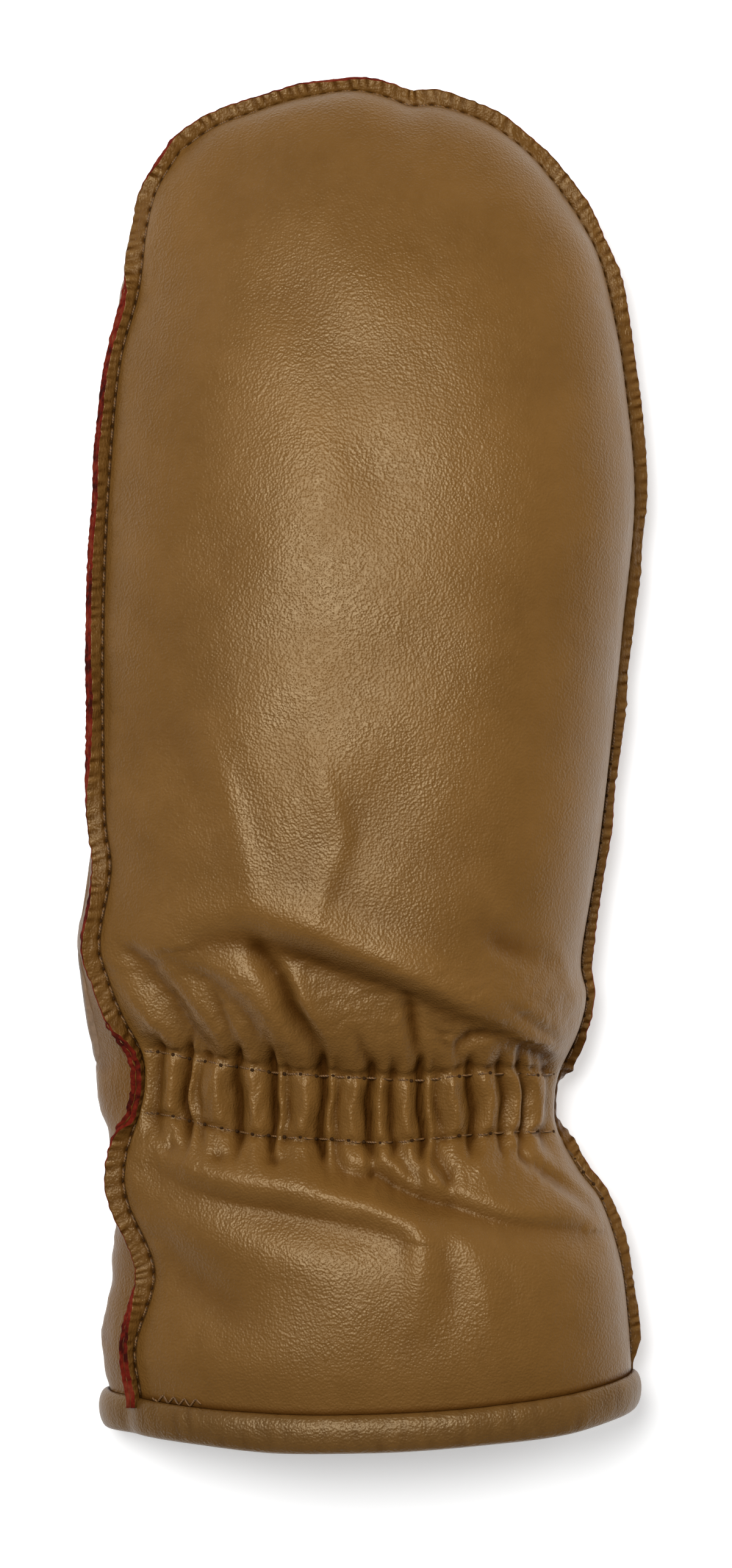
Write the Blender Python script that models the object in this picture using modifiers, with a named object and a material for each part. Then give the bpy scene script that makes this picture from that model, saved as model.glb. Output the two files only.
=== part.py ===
"""A right-hand leather mitten with a gathered wrist, lying palm down on a flat surface.

It is cut as a real one is: a back panel and a palm panel whose raw edges stand out beyond the side stitches,
a thumb set into an oval opening in the palm, and a binding folded round the edge of the cuff.
+Y points to the fingertips, +X to the little finger and +Z up from the surface that the mitten lies on.
"""

import math

import bmesh
import bpy
import numpy as np
from mathutils import Vector

# Driving sizes, in metres.
PANEL_LENGTH = 0.262  # from the seam of the cuff binding to the fingertip stitches
HAND_WIDTH = 0.106  # between the two rows of side stitches where the hand is widest
CROWN_HEIGHT = 0.047  # top of the back above the surface
LEATHER = 0.0014  # thickness of every panel
SEAM_MARGIN = 0.0032  # raw edge beyond the side stitches
GAP = 0.0003  # clearance between neighbouring pieces
BINDING_HEIGHT = 0.0078  # visible height of the cuff binding
BINDING_LEATHER = 0.0016  # thickness of the folded binding on each side of the cuff
ELASTIC_WIDTH = 0.0123  # between the two rows of stitches over the wrist elastic
GATHER_DEPTH = 0.0022  # from the top of a puff to the valley beside it
THUMB_LENGTH = 0.090
THUMB_WIDTH = 0.038
THUMB_THICKNESS = 0.0165
THUMB_OPENING_WIDTH = 0.025
THUMB_OPENING_LENGTH = 0.032

# Proportions and angles.
ROLL_LEFT = math.radians(25)  # slope of the seam on the thumb side, rising outwards
ROLL_RIGHT = math.radians(42)  # slope of the seam on the other side, falling outwards
ROW_SAG = 0.009  # how far a cross row dips at its middle, as a share of the panel length
TIP_START = 0.80  # where the rows begin to bend round the fingertips, as a share of the panel length
TIP_ARC = 1.5  # how late the rows bend after that: 1 for evenly
LEVEL_START = 0.50  # where the seam's slopes begin to level out, as a share of the panel length
WRIST = 0.238  # middle of the elastic along the left seam, as a share of the panel length
LEFT_FULLNESS = (2.3, 0.85)  # powers of the back's section curve, which falls gently to the left seam
RIGHT_FULLNESS = (2.8, 0.5)  # and steeply to the right one
PALM_FULLNESS = (2.6, 0.5)  # powers of the palm's section curve
TIP_FULLNESS = (2.4, 0.5)  # powers of the curve by which the mitten thins to the fingertips
PALM_SINK = 2.0  # how far the palm would hang below the surface, in leather thicknesses, before it is flattened
LEAST_BULGE = 0.06  # added to the palm's bulge at each section
BULGE_END = 0.6  # how far across the palm the bulge reaches, where half way is 1
BULGE_PEAK = 0.25  # where it is largest, as a share of that
FOLD_START = 0.4  # strength of a fold at the ends of its path
GATHER_FADE = 1.1  # how far the gathers reach above and below, in widths of the elastic
GATHER_SHARPNESS = 0.8  # 1 for straight sides of a valley, less for a narrower one
DRAPE = 0.70  # how far the palm slopes away beside the thumb, as a share of the thumb width
BINDING_DRAPE = 3.0  # how far it slopes away from the binding, as a share of the binding height
THUMB_BASE = (-0.76, 0.275)  # lower end of the thumb: share of the half width, share of the panel length
THUMB_LEAN = math.radians(-13)  # the thumb points to the fingertips, leaning towards the little finger
OPENING_ALONG = 0.24  # middle of the thumb's opening, as a share of the thumb length
OPENING_ASIDE = 0.06  # and how far it lies towards the little finger, as a share of the thumb width

# One row for each cross section, from the cuff to where the sides turn into the fingertip. left_along and right_along
# are shares of the panel length, left and right of half the hand width, bulge (how far the palm stands out beyond
# the left stitches) of half the hand width, and the heights of the crown height. rows is how many grid rows follow.
SECTION_COLUMNS = (
    "left_along", "right_along", "left", "right", "bulge", "left_height", "right_height", "crown", "rows",
)  # fmt: skip
SECTIONS = (
    (0.000, 0.016, -0.86, 0.98, 0.15, 0.50, 0.30, 0.86, 1),
    (0.040, 0.051, -0.88, 0.97, 0.16, 0.50, 0.29, 0.90, 2),
    (0.095, 0.099, -0.81, 0.94, 0.19, 0.50, 0.28, 0.90, 3),
    (0.148, 0.143, -0.91, 0.87, 0.06, 0.50, 0.28, 0.87, 2),
    (0.179, 0.169, -0.92, 0.78, 0.06, 0.50, 0.28, 0.81, 3),
    (0.215, 0.200, -0.87, 0.70, 0.16, 0.49, 0.28, 0.73, 2),
    (0.238, 0.223, -0.85, 0.69, 0.20, 0.49, 0.28, 0.72, 2),
    (0.262, 0.245, -0.86, 0.71, 0.20, 0.50, 0.28, 0.75, 2),
    (0.291, 0.276, -0.93, 0.78, 0.15, 0.54, 0.28, 0.86, 2),
    (0.319, 0.303, -0.98, 0.81, 0.12, 0.57, 0.28, 0.94, 2),
    (0.347, 0.330, -1.01, 0.79, 0.10, 0.59, 0.28, 0.98, 3),
    (0.400, 0.383, -0.97, 0.83, 0.10, 0.57, 0.28, 1.00, 1),
    (0.437, 0.421, -0.99, 0.86, 0.05, 0.56, 0.28, 1.00, 1),
    (0.505, 0.490, -1.00, 0.90, 0.04, 0.53, 0.28, 0.99, 1),
    (0.601, 0.585, -1.00, 0.95, 0.04, 0.48, 0.28, 0.97, 2),
    (0.696, 0.685, -0.98, 1.00, 0.04, 0.43, 0.28, 0.94, 2),
    (0.784, 0.773, -0.94, 0.97, 0.06, 0.39, 0.27, 0.88, 1),
    (0.841, 0.826, -0.87, 0.93, 0.11, 0.36, 0.27, 0.82, 1),
    (0.887, 0.868, -0.84, 0.88, 0.07, 0.34, 0.27, 0.76, 1),
    (0.921, 0.898, -0.80, 0.81, 0.04, 0.32, 0.26, 0.70, 2),
    (0.952, 0.923, -0.71, 0.73, 0.02, 0.30, 0.26, 0.66, 0),
)

# The fingertip stitches: place between the two shoulders, from -1 to 1, and rise above the line that joins them, as a
# share of the panel length. There is a nick just past the middle.
TIP_COLUMNS = ("across", "rise")
TIP = (
    (-1.00, 0.000),
    (-0.84, 0.019),
    (-0.60, 0.036),
    (-0.31, 0.052),
    (-0.05, 0.060),
    (0.10, 0.057),
    (0.20, 0.053),
    (0.34, 0.055),
    (0.50, 0.051),
    (0.69, 0.040),
    (0.86, 0.022),
    (1.00, 0.000),
)

# Valleys of the gathers over the elastic: place across the back, from -1 to 1, and share of the gather depth.
GATHER_COLUMNS = ("across", "depth")
GATHERS = (
    (-0.94, 0.8),
    (-0.75, 1.0),
    (-0.56, 1.0),
    (-0.37, 1.0),
    (-0.13, 1.1),
    (0.10, 1.0),
    (0.24, 0.8),
    (0.36, 1.1),
    (0.54, 0.9),
    (0.73, 0.8),
    (0.85, 0.6),
)

# Folds of the back. A path runs through points (share of the half width, share of the panel length). depth is a
# share of the crown height, negative for a ridge. near and far are the widths on the left and right of the path,
# as shares of the hand width.
FOLD_COLUMNS = ("name", "path", "depth", "near", "far")
BACK_FOLDS = (
    ("under_the_hand", ((-0.80, 0.342), (-0.53, 0.350), (-0.33, 0.342), (-0.08, 0.330), (0.17, 0.308), (0.37, 0.290),
                        (0.56, 0.272)), 0.15, 0.045, 0.12),
    ("hand_roll", ((-0.40, 0.372), (-0.15, 0.355), (0.17, 0.332), (0.43, 0.308), (0.66, 0.282)), -0.06, 0.07, 0.04),
    ("long_pleat", ((-0.42, 0.352), (-0.33, 0.328), (-0.26, 0.297), (-0.21, 0.270), (-0.16, 0.245)), 0.09, 0.03, 0.03),
    ("curved_pleat", ((-0.80, 0.338), (-0.66, 0.330), (-0.53, 0.314), (-0.45, 0.297), (-0.39, 0.280),
                      (-0.35, 0.260)), 0.07, 0.03, 0.025),
    ("left_pleat", ((-0.80, 0.325), (-0.72, 0.300), (-0.63, 0.277), (-0.53, 0.260)), 0.08, 0.03, 0.03),
    ("short_pleat", ((-0.56, 0.297), (-0.51, 0.280), (-0.48, 0.260)), 0.04, 0.02, 0.02),
    ("right_pleat", ((0.17, 0.305), (0.19, 0.275), (0.20, 0.250)), 0.06, 0.025, 0.025),
    ("cuff_ridge", ((-0.73, 0.184), (-0.51, 0.178), (-0.25, 0.170), (-0.05, 0.159), (0.14, 0.146)), -0.05, 0.05, 0.04),
    ("cuff_hollow", ((-0.75, 0.172), (-0.60, 0.162), (-0.30, 0.152), (-0.05, 0.138), (0.12, 0.130)), 0.06, 0.045, 0.06),
    ("cuff_crease", ((-0.12, 0.196), (-0.03, 0.180), (0.09, 0.176), (0.16, 0.167), (0.28, 0.159), (0.42, 0.150),
                     (0.55, 0.142), (0.75, 0.138)), 0.09, 0.03, 0.05),
    ("side_crease", ((0.51, 0.202), (0.61, 0.185), (0.74, 0.167), (0.82, 0.152)), 0.05, 0.02, 0.02),
    ("slanting_dip", ((-0.78, 0.118), (-0.60, 0.092), (-0.45, 0.073)), 0.04, 0.05, 0.05),
    ("hand_dip", ((-0.05, 0.455), (0.20, 0.450), (0.45, 0.420), (0.60, 0.385)), 0.04, 0.12, 0.10),
)  # fmt: skip

# Width of the thumb at even steps from its base to its tip, as shares of the thumb width.
THUMB_WIDTHS = (0.94, 1.00, 0.99, 0.92, 0.84, 0.76)

# Section of the folded binding: how far out from the cuff's surface, in thicknesses of binding leather beyond the
# slot that the cuff sits in, and height, as a share of the binding height. It runs round the outside first.
BINDING_COLUMNS = ("side", "out", "height")
BINDING_SECTION = (
    ("outer", 0.0, 1.00),
    ("outer", 0.9, 0.92),
    ("outer", 1.3, 0.55),
    ("outer", 0.8, 0.14),
    ("middle", 0.0, 0.00),
    ("inner", 0.8, 0.14),
    ("inner", 1.2, 0.55),
    ("inner", 0.9, 0.92),
    ("inner", 0.0, 1.00),
    ("inner", 0.0, 0.22),
    ("outer", 0.0, 0.22),
)

TUCK = 0.60  # how far the cuff reaches down into the binding, as a share of the binding height
MARGIN_START = 0.5  # where the raw edges begin above the binding, as a share of their width
SEAM_ROW = 1  # grid row of a panel that lies on the seam of the binding, above the row tucked into it
CELLS_PER_GATHER = 3  # grid cells across the back for each gather
PALM_CELLS = 16  # grid cells across the palm
THUMB_AROUND = 20  # corners of the thumb's section
THUMB_RINGS = 14  # cells along the thumb
THUMB_SQUARENESS = 0.62  # 1 for an oval thumb, less for fuller ends
THUMB_FLATNESS = 1.18  # 1 for an oval section, more for a flatter top and underside
OPENING_SIDES = 28  # corners of the thumb's opening

EVEN_LIMIT = 1.5  # the leather's thickness at a sharp fold, at most this many times a neighbouring edge
SEAM_STEP = 0.05  # part of a section row over which the seam's direction is read
THUMB_END = 1e-6  # a ring of the thumb smaller than this is its end point
WELD = 1e-6  # points of the binding closer than this are one

HALF_WIDTH = HAND_WIDTH / 2
SEAM_HALF = LEATHER + GAP / 2  # from the middle of a seam to its outer face
BINDING_LIFT = GAP + max(out for _, out, _ in BINDING_SECTION) * BINDING_LEATHER  # room under the cuff
THUMB_LIFT = THUMB_THICKNESS + GAP  # underside of the palm where it lies on the thumb


def smooth_table(places, values, wanted):
    """Values read from a table with a smooth curve through its rows."""
    places = np.asarray(places, float)
    values = np.asarray(values, float)
    slopes = np.gradient(values, places)
    wanted = np.clip(wanted, places[0], places[-1])
    cell = np.clip(np.searchsorted(places, wanted, side="right") - 1, 0, len(places) - 2)
    width = places[cell + 1] - places[cell]
    t = (wanted - places[cell]) / width
    start, end = values[cell], values[cell + 1]
    start_slope, end_slope = slopes[cell] * width, slopes[cell + 1] * width
    return (
        start * (2 * t**3 - 3 * t**2 + 1)
        + start_slope * (t**3 - 2 * t**2 + t)
        + end * (3 * t**2 - 2 * t**3)
        + end_slope * (t**3 - t**2)
    )


def smooth_step(t):
    t = np.clip(t, 0, 1)
    return t * t * (3 - 2 * t)


def smooth_max(a, b, blend):
    """The larger of two heights, rounded where they meet, and exactly b well inside it."""
    t = np.clip(0.5 + 0.5 * (a - b) / blend, 0, 1)
    return b + (a - b) * t + blend * t * (1 - t)


def section(name, station):
    """One column of the section table, read at fractional row numbers."""
    column = SECTION_COLUMNS.index(name)
    return smooth_table(range(len(SECTIONS)), [row[column] for row in SECTIONS], station)


def grid_stations():
    """Row numbers of the section table where the grid has its rows."""
    rows = [row[SECTION_COLUMNS.index("rows")] for row in SECTIONS]
    stations = [i + k / count for i, count in enumerate(rows) for k in range(count)]
    return np.array(stations + [len(SECTIONS) - 1.0])


def fullness(t, shoulder, power):
    """A section curve: 1 at the middle, where t is 0, and falling to 0 at its edge, where t is 1."""
    return (1 - t**shoulder) ** power


def toward_tip(station, start):
    """Share of the way from a start, in panel lengths, to the last section."""
    return np.clip((section("left_along", station) - start) / (SECTIONS[-1][0] - start), 0, 1)


def tip_bend(station):
    """How far a cross row has turned into the arc of the fingertips, from 0 to 1."""
    return toward_tip(station, TIP_START)


def tip_fall(station):
    """Fullness of the mitten along its length: 1, falling to 0 at the fingertip stitches."""
    return fullness(tip_bend(station), *TIP_FULLNESS)


def seam_frame(across, station):
    """Plan position, and height of the seam surface, of points given by place across and section row."""
    left = section("left", station) * HALF_WIDTH
    right = section("right", station) * HALF_WIDTH
    share = (1 + across) / 2
    x = left + (right - left) * share
    left_along, right_along = section("left_along", station), section("right_along", station)
    along = left_along + (right_along - left_along) * share
    bend = tip_bend(station) ** TIP_ARC
    rise = smooth_table([row[0] for row in TIP], [row[1] for row in TIP], across)
    y = PANEL_LENGTH * (along - ROW_SAG * (1 - across**2) * (1 - bend) + rise * bend)
    left_height, right_height = section("left_height", station), section("right_height", station)
    z = CROWN_HEIGHT * (left_height + (right_height - left_height) * share)
    return np.stack([x, y, z], axis=-1)


def seam_normal(across, station):
    """Unit vectors square to the seam and to its raw edges, which are rolled about the length of the mitten."""
    roll = np.where(across < 0, ROLL_LEFT, ROLL_RIGHT) * np.abs(across)
    roll *= 1 - smooth_step(toward_tip(station, LEVEL_START))
    normal = np.stack([np.sin(roll), np.zeros_like(roll), np.cos(roll)], axis=-1)
    side = np.where(across < 0, -1.0, 1.0)
    run = seam_frame(side, station + SEAM_STEP) - seam_frame(side, station - SEAM_STEP)
    run /= np.linalg.norm(run, axis=-1, keepdims=True)
    normal -= np.abs(across)[..., None] * (normal * run).sum(axis=-1, keepdims=True) * run
    return normal / np.linalg.norm(normal, axis=-1, keepdims=True)


def smooth_path(points, steps=6):
    """Points of a smooth curve through a fold's path."""
    points = np.asarray(points, float)
    places = np.arange(len(points))
    wanted = np.linspace(0, len(points) - 1, steps * (len(points) - 1) + 1)
    return np.stack([smooth_table(places, points[:, k], wanted) for k in range(2)], axis=-1)


def fold_height(x, y, path, depth, near, far):
    """Height change of one fold at plan points: a groove along its path, fading at both ends."""
    path = smooth_path([(a * HALF_WIDTH, b * PANEL_LENGTH) for a, b in path])
    best = np.full(x.shape, np.inf)
    side = np.zeros(x.shape)
    place = np.zeros(x.shape)
    for k, (start, end) in enumerate(zip(path[:-1], path[1:])):
        run = end - start
        t = np.clip(((x - start[0]) * run[0] + (y - start[1]) * run[1]) / (run @ run), 0, 1)
        dx, dy = x - start[0] - t * run[0], y - start[1] - t * run[1]
        distance = np.hypot(dx, dy)
        closer = distance < best
        best = np.where(closer, distance, best)
        side = np.where(closer, run[0] * dy - run[1] * dx, side)
        place = np.where(closer, (k + t) / (len(path) - 1), place)
    width = HAND_WIDTH * np.where(side > 0, near, far)
    fade = FOLD_START + (1 - FOLD_START) * np.sin(np.pi * place)
    return -depth * CROWN_HEIGHT * fade * np.exp(-((best / width) ** 2))


def gather_height(across, along):
    """Puffs over the elastic, with narrow valleys between them, fading above and below it."""
    places = np.array([row[0] for row in GATHERS])
    depths = np.array([row[1] for row in GATHERS])
    nearest = np.abs(across[..., None] - places).argmin(axis=-1)
    spacing = np.gradient(places)[nearest]
    valley = 1 - np.clip(2 * np.abs(across - places[nearest]) / spacing, 0, 1) ** GATHER_SHARPNESS
    reach = np.abs(along - WRIST) * PANEL_LENGTH / ELASTIC_WIDTH
    return -GATHER_DEPTH * depths[nearest] * valley * np.exp(-((reach / GATHER_FADE) ** 4))


def thumb_frame(x, y):
    """Place of plan points in the thumb's own axes: along it from its base, and to its right."""
    base_x, base_y = THUMB_BASE[0] * HALF_WIDTH, THUMB_BASE[1] * PANEL_LENGTH
    along = -(x - base_x) * math.sin(THUMB_LEAN) + (y - base_y) * math.cos(THUMB_LEAN)
    aside = (x - base_x) * math.cos(THUMB_LEAN) + (y - base_y) * math.sin(THUMB_LEAN)
    return along, aside


def surface_height(x, y):
    """What the underside lies on: the table, the thumb, and the binding at the cuff."""
    along, aside = thumb_frame(x, y)
    half = THUMB_WIDTH / 2
    past_end = np.abs(along - THUMB_LENGTH / 2) - (THUMB_LENGTH / 2 - half)
    distance = np.hypot(np.clip(past_end, 0, None), aside)
    over_thumb = THUMB_LIFT * (1 - smooth_step((distance - half) / (DRAPE * THUMB_WIDTH)))
    over_binding = BINDING_LIFT * (1 - smooth_step(y / (BINDING_DRAPE * BINDING_HEIGHT)))
    return np.maximum(over_thumb, over_binding)


def normals_of(points):
    normals = np.cross(np.gradient(points, axis=1), np.gradient(points, axis=0))
    return normals / np.linalg.norm(normals, axis=-1, keepdims=True)


def back_surface(across, station):
    """Outer face of the back panel, with its folds."""
    x, y, seam_z = np.moveaxis(seam_frame(across, station), -1, 0)
    side = np.abs(across)
    full = np.where(across < 0, fullness(side, *LEFT_FULLNESS), fullness(side, *RIGHT_FULLNESS)) * tip_fall(station)
    z = seam_z + (section("crown", station) * CROWN_HEIGHT - seam_z - SEAM_HALF) * full
    points = np.stack([x, y, z], axis=-1)
    change = sum(fold_height(x, y, *row[1:]) for row in BACK_FOLDS)
    inside = smooth_step((1 - side) * HALF_WIDTH / (2 * SEAM_MARGIN)) * np.clip(3 * tip_fall(station), 0, 1)
    along = y / PANEL_LENGTH + ROW_SAG * (1 - across**2)
    change = change * inside + gather_height(across, along) * smooth_step((1 - side) * HALF_WIDTH / SEAM_MARGIN)
    points += normals_of(points) * change[..., None]
    return points + seam_normal(across, station) * SEAM_HALF


def palm_surface(across, station):
    """Outer face of the palm panel, flattened where it lies on something."""
    x, y, seam_z = np.moveaxis(seam_frame(across, station), -1, 0)
    full = fullness(np.abs(across), *PALM_FULLNESS) * tip_fall(station)
    z = seam_z - (seam_z + PALM_SINK * LEATHER) * full
    turn = np.clip((across + 1) / BULGE_END, 0, 1)
    lean = np.sqrt(turn / BULGE_PEAK) * ((1 - turn) / (1 - BULGE_PEAK)) ** (0.5 / BULGE_PEAK - 0.5)
    x = x - (section("bulge", station) + LEAST_BULGE) * HALF_WIDTH * lean * tip_fall(station)
    points = np.stack([x, y, z], axis=-1) - seam_normal(across, station) * SEAM_HALF
    ground = surface_height(points[..., 0], points[..., 1])
    points[..., 2] = smooth_max(points[..., 2], ground, 2 * LEATHER)
    return points


def remove_everything():
    for obj in list(bpy.data.objects):
        bpy.data.objects.remove(obj)


def leather(name, colour, roughness):
    material = bpy.data.materials.new(name)
    material.use_nodes = True
    shader = material.node_tree.nodes["Principled BSDF"]
    shader.inputs["Base Color"].default_value = (*colour, 1)
    shader.inputs["Roughness"].default_value = roughness
    return material


def finished(name, bm, collection, parent, material):
    """An object from a bmesh, smooth shaded, in its collection and under its parent."""
    mesh = bpy.data.meshes.new(name)
    bm.to_mesh(mesh)
    bm.free()
    mesh.shade_smooth()
    mesh.set_sharp_from_angle(angle=math.radians(50))
    mesh.materials.append(material)
    obj = bpy.data.objects.new(name, mesh)
    obj.parent = parent
    collection.objects.link(obj)
    return obj


def thicken(obj):
    """Leather thickness, grown inwards from the outer face."""
    wall = obj.modifiers.new("leather", "SOLIDIFY")
    wall.thickness = LEATHER
    wall.offset = -1
    wall.use_even_offset = True
    wall.thickness_clamp = EVEN_LIMIT


def cut(obj, cutter):
    opening = obj.modifiers.new("thumb_opening", "BOOLEAN")
    opening.operation = "DIFFERENCE"
    opening.object = cutter


def grid_mesh(points):
    """A bmesh grid whose vertices are moved to an array of points, rows by columns."""
    rows, columns = points.shape[:2]
    bm = bmesh.new()
    bmesh.ops.create_grid(bm, x_segments=columns - 1, y_segments=rows - 1, size=1)
    for vertex in bm.verts:
        column = round((vertex.co.x + 1) / 2 * (columns - 1))
        row = round((vertex.co.y + 1) / 2 * (rows - 1))
        vertex.co = points[row, column]
    return bm


def add_seam_margin(bm, points, normals):
    """The raw edge: the boundary beyond the stitches, extruded outwards in the plane of the seam."""
    last_row, last_column = len(points) - 1, len(points[0]) - 1
    rim = [(row, 0) for row in range(SEAM_ROW + 1, last_row)]
    rim += [(last_row, column) for column in range(last_column)]
    rim += [(row, last_column) for row in range(last_row, SEAM_ROW, -1)]
    places = np.array([points[spot] for spot in rim])
    outward = np.cross(np.array([normals[spot] for spot in rim]), np.gradient(places, axis=0))
    outward *= np.sign(places[-1][0] - places[0][0])
    outward *= SEAM_MARGIN / np.linalg.norm(outward, axis=-1, keepdims=True)
    moves = {tuple(np.float32(place)): Vector(move) for place, move in zip(places, outward)}
    edges = [e for e in bm.edges if e.is_boundary and all(tuple(v.co) in moves for v in e.verts)]
    made = bmesh.ops.extrude_edge_only(bm, edges=edges)
    for vertex in made["geom"]:
        if isinstance(vertex, bmesh.types.BMVert):
            vertex.co += moves[tuple(vertex.co)]


def across_back():
    """Grid columns of the back: one at each valley of the gathers, and others between them."""
    places = np.array([-1.0] + [row[0] for row in GATHERS] + [1.0])
    wanted = np.arange(CELLS_PER_GATHER * (len(places) - 1) + 1) / CELLS_PER_GATHER
    return np.interp(wanted, np.arange(len(places)), places)


def across_palm():
    """Grid columns of the palm, closer together at its steep sides."""
    return -np.cos(np.linspace(0, math.pi, PALM_CELLS + 1))


def panel_grid(surface, across):
    """Outer face of a panel with the rows that are tucked into the binding, and the seam's normals there."""
    columns, stations = np.meshgrid(across, grid_stations())
    points = surface(columns, stations)
    normals = seam_normal(columns, stations)
    low, start = points[:1].copy(), points[:1].copy()
    low[..., 1] -= TUCK * BINDING_HEIGHT
    start[..., 1] += MARGIN_START * SEAM_MARGIN
    points = np.concatenate([low, points[:1], start, points[1:]])
    return points, np.concatenate([normals[:1], normals[:1], normals])


def make_panel(name, surface, across, collection, parent, material):
    points, normals = panel_grid(surface, across)
    bm = grid_mesh(points)
    add_seam_margin(bm, points, normals)
    obj = finished(name, bm, collection, parent, material)
    thicken(obj)
    return obj


def make_back_panel(collection, parent, material):
    return make_panel("back_panel", back_surface, across_back(), collection, parent, material)


def make_palm_panel(collection, parent, material, cutter):
    obj = make_panel("palm_panel", palm_surface, across_palm()[::-1], collection, parent, material)
    cut(obj, cutter)
    return obj


def make_opening_cutter(collection, parent):
    """An upright oval that cuts the palm and, below it, the upper side of the thumb."""
    along, aside = OPENING_ALONG * THUMB_LENGTH, OPENING_ASIDE * THUMB_WIDTH
    bm = bmesh.new()
    bmesh.ops.create_cone(bm, cap_ends=True, segments=OPENING_SIDES, radius1=0.5, radius2=0.5, depth=1)
    bmesh.ops.scale(bm, vec=(THUMB_OPENING_WIDTH, THUMB_OPENING_LENGTH, THUMB_THICKNESS), verts=bm.verts)
    obj = finished("thumb_opening_cutter", bm, collection, parent, None)
    obj.location = thumb_place(along, aside, THUMB_LIFT)
    obj.rotation_euler = (0, 0, THUMB_LEAN)
    obj.hide_render = True
    obj.display_type = "WIRE"
    return obj


def thumb_place(along, aside, height):
    """World place of a point given along the thumb, to its right, and above the surface."""
    x = THUMB_BASE[0] * HALF_WIDTH - along * math.sin(THUMB_LEAN) + aside * math.cos(THUMB_LEAN)
    y = THUMB_BASE[1] * PANEL_LENGTH + along * math.cos(THUMB_LEAN) + aside * math.sin(THUMB_LEAN)
    return Vector((x, y, height))


def make_thumb(collection, parent, material, cutter):
    """A hollow thumb: a sphere drawn out along the thumb, flattened above and below."""
    bm = bmesh.new()
    bmesh.ops.create_uvsphere(bm, u_segments=THUMB_AROUND, v_segments=THUMB_RINGS, radius=1)
    for vertex in bm.verts:
        x, y, z = vertex.co
        ring = math.hypot(x, y)
        full = ring**THUMB_SQUARENESS
        along = THUMB_LENGTH * (1 + math.copysign(abs(z) ** THUMB_SQUARENESS, z)) / 2
        across = -x / ring if ring > THUMB_END else 0
        rise = y / ring if ring > THUMB_END else 0
        width = smooth_table(range(len(THUMB_WIDTHS)), THUMB_WIDTHS, (len(THUMB_WIDTHS) - 1) * along / THUMB_LENGTH)
        aside = float(width) * THUMB_WIDTH / 2 * full * across
        height = THUMB_THICKNESS / 2 * (1 + max(-1, min(1, THUMB_FLATNESS * full * rise)))
        vertex.co = thumb_place(along, aside, height)
    obj = finished("thumb", bm, collection, parent, material)
    thicken(obj)
    cut(obj, cutter)
    return obj


def make_hem_binding(collection, parent, material):
    """A strip folded round the edge of the cuff, with a slot that the two panels sit in."""
    back = panel_grid(back_surface, across_back())[0][SEAM_ROW]
    palm = panel_grid(palm_surface, across_palm()[::-1])[0][SEAM_ROW]
    path = np.concatenate([back, palm])
    run = np.roll(path, -1, axis=0) - np.roll(path, 1, axis=0)
    outward = np.stack([-run[:, 2], np.zeros(len(path)), run[:, 0]], axis=-1)
    outward /= np.linalg.norm(outward, axis=-1, keepdims=True)
    rows = []
    for side, out, height in BINDING_SECTION:
        offset = {
            "outer": GAP + out * BINDING_LEATHER,
            "middle": -LEATHER / 2,
            "inner": -LEATHER - GAP - out * BINDING_LEATHER,
        }[side]
        row = path + outward * offset
        row[:, 1] -= (1 - height) * BINDING_HEIGHT
        rows.append(row)
    points = np.stack(rows + rows[:1])
    points = np.concatenate([points, points[:, :1]], axis=1)
    points[..., 2] = np.maximum(points[..., 2], 0)
    bm = grid_mesh(points)
    bmesh.ops.remove_doubles(bm, verts=bm.verts, dist=WELD)
    bmesh.ops.recalc_face_normals(bm, faces=bm.faces)
    return finished("hem_binding", bm, collection, parent, material)


def centre_on_floor(root, objects):
    """Move everything so that the middle of its underside is at the origin."""
    bpy.context.view_layer.update()
    graph = bpy.context.evaluated_depsgraph_get()
    corners = [obj.matrix_world @ Vector(c) for obj in objects for c in obj.evaluated_get(graph).bound_box]
    low = Vector(min(c[k] for c in corners) for k in range(3))
    high = Vector(max(c[k] for c in corners) for k in range(3))
    root.location = (-(low.x + high.x) / 2, -(low.y + high.y) / 2, -low.z)


def new_collection(name):
    collection = bpy.data.collections.new(name)
    bpy.context.scene.collection.children.link(collection)
    return collection


def main():
    remove_everything()
    mitten = new_collection("leather_mitten")
    cutters = new_collection("cutters")
    root = bpy.data.objects.new("mitten_root", None)
    mitten.objects.link(root)
    hand_leather = leather("tan_leather", (0.26, 0.13, 0.055), 0.5)
    trim_leather = leather("binding_leather", (0.19, 0.105, 0.055), 0.55)
    cutter = make_opening_cutter(cutters, root)
    pieces = [
        make_back_panel(mitten, root, hand_leather),
        make_palm_panel(mitten, root, hand_leather, cutter),
        make_thumb(mitten, root, hand_leather, cutter),
        make_hem_binding(mitten, root, trim_leather),
    ]
    centre_on_floor(root, pieces)


main()
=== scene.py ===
"""The leather mitten, dressed for its picture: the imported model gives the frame, this script the looks.

The back panel, palm panel, thumb and cuff binding each replace the CAD node of the same name. They follow
the part's own section table, with the folds, gathers and creases that the photograph shows. The raw edges,
the stitches and the loose end of thread are pieces of their own.
"""

import math

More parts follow.
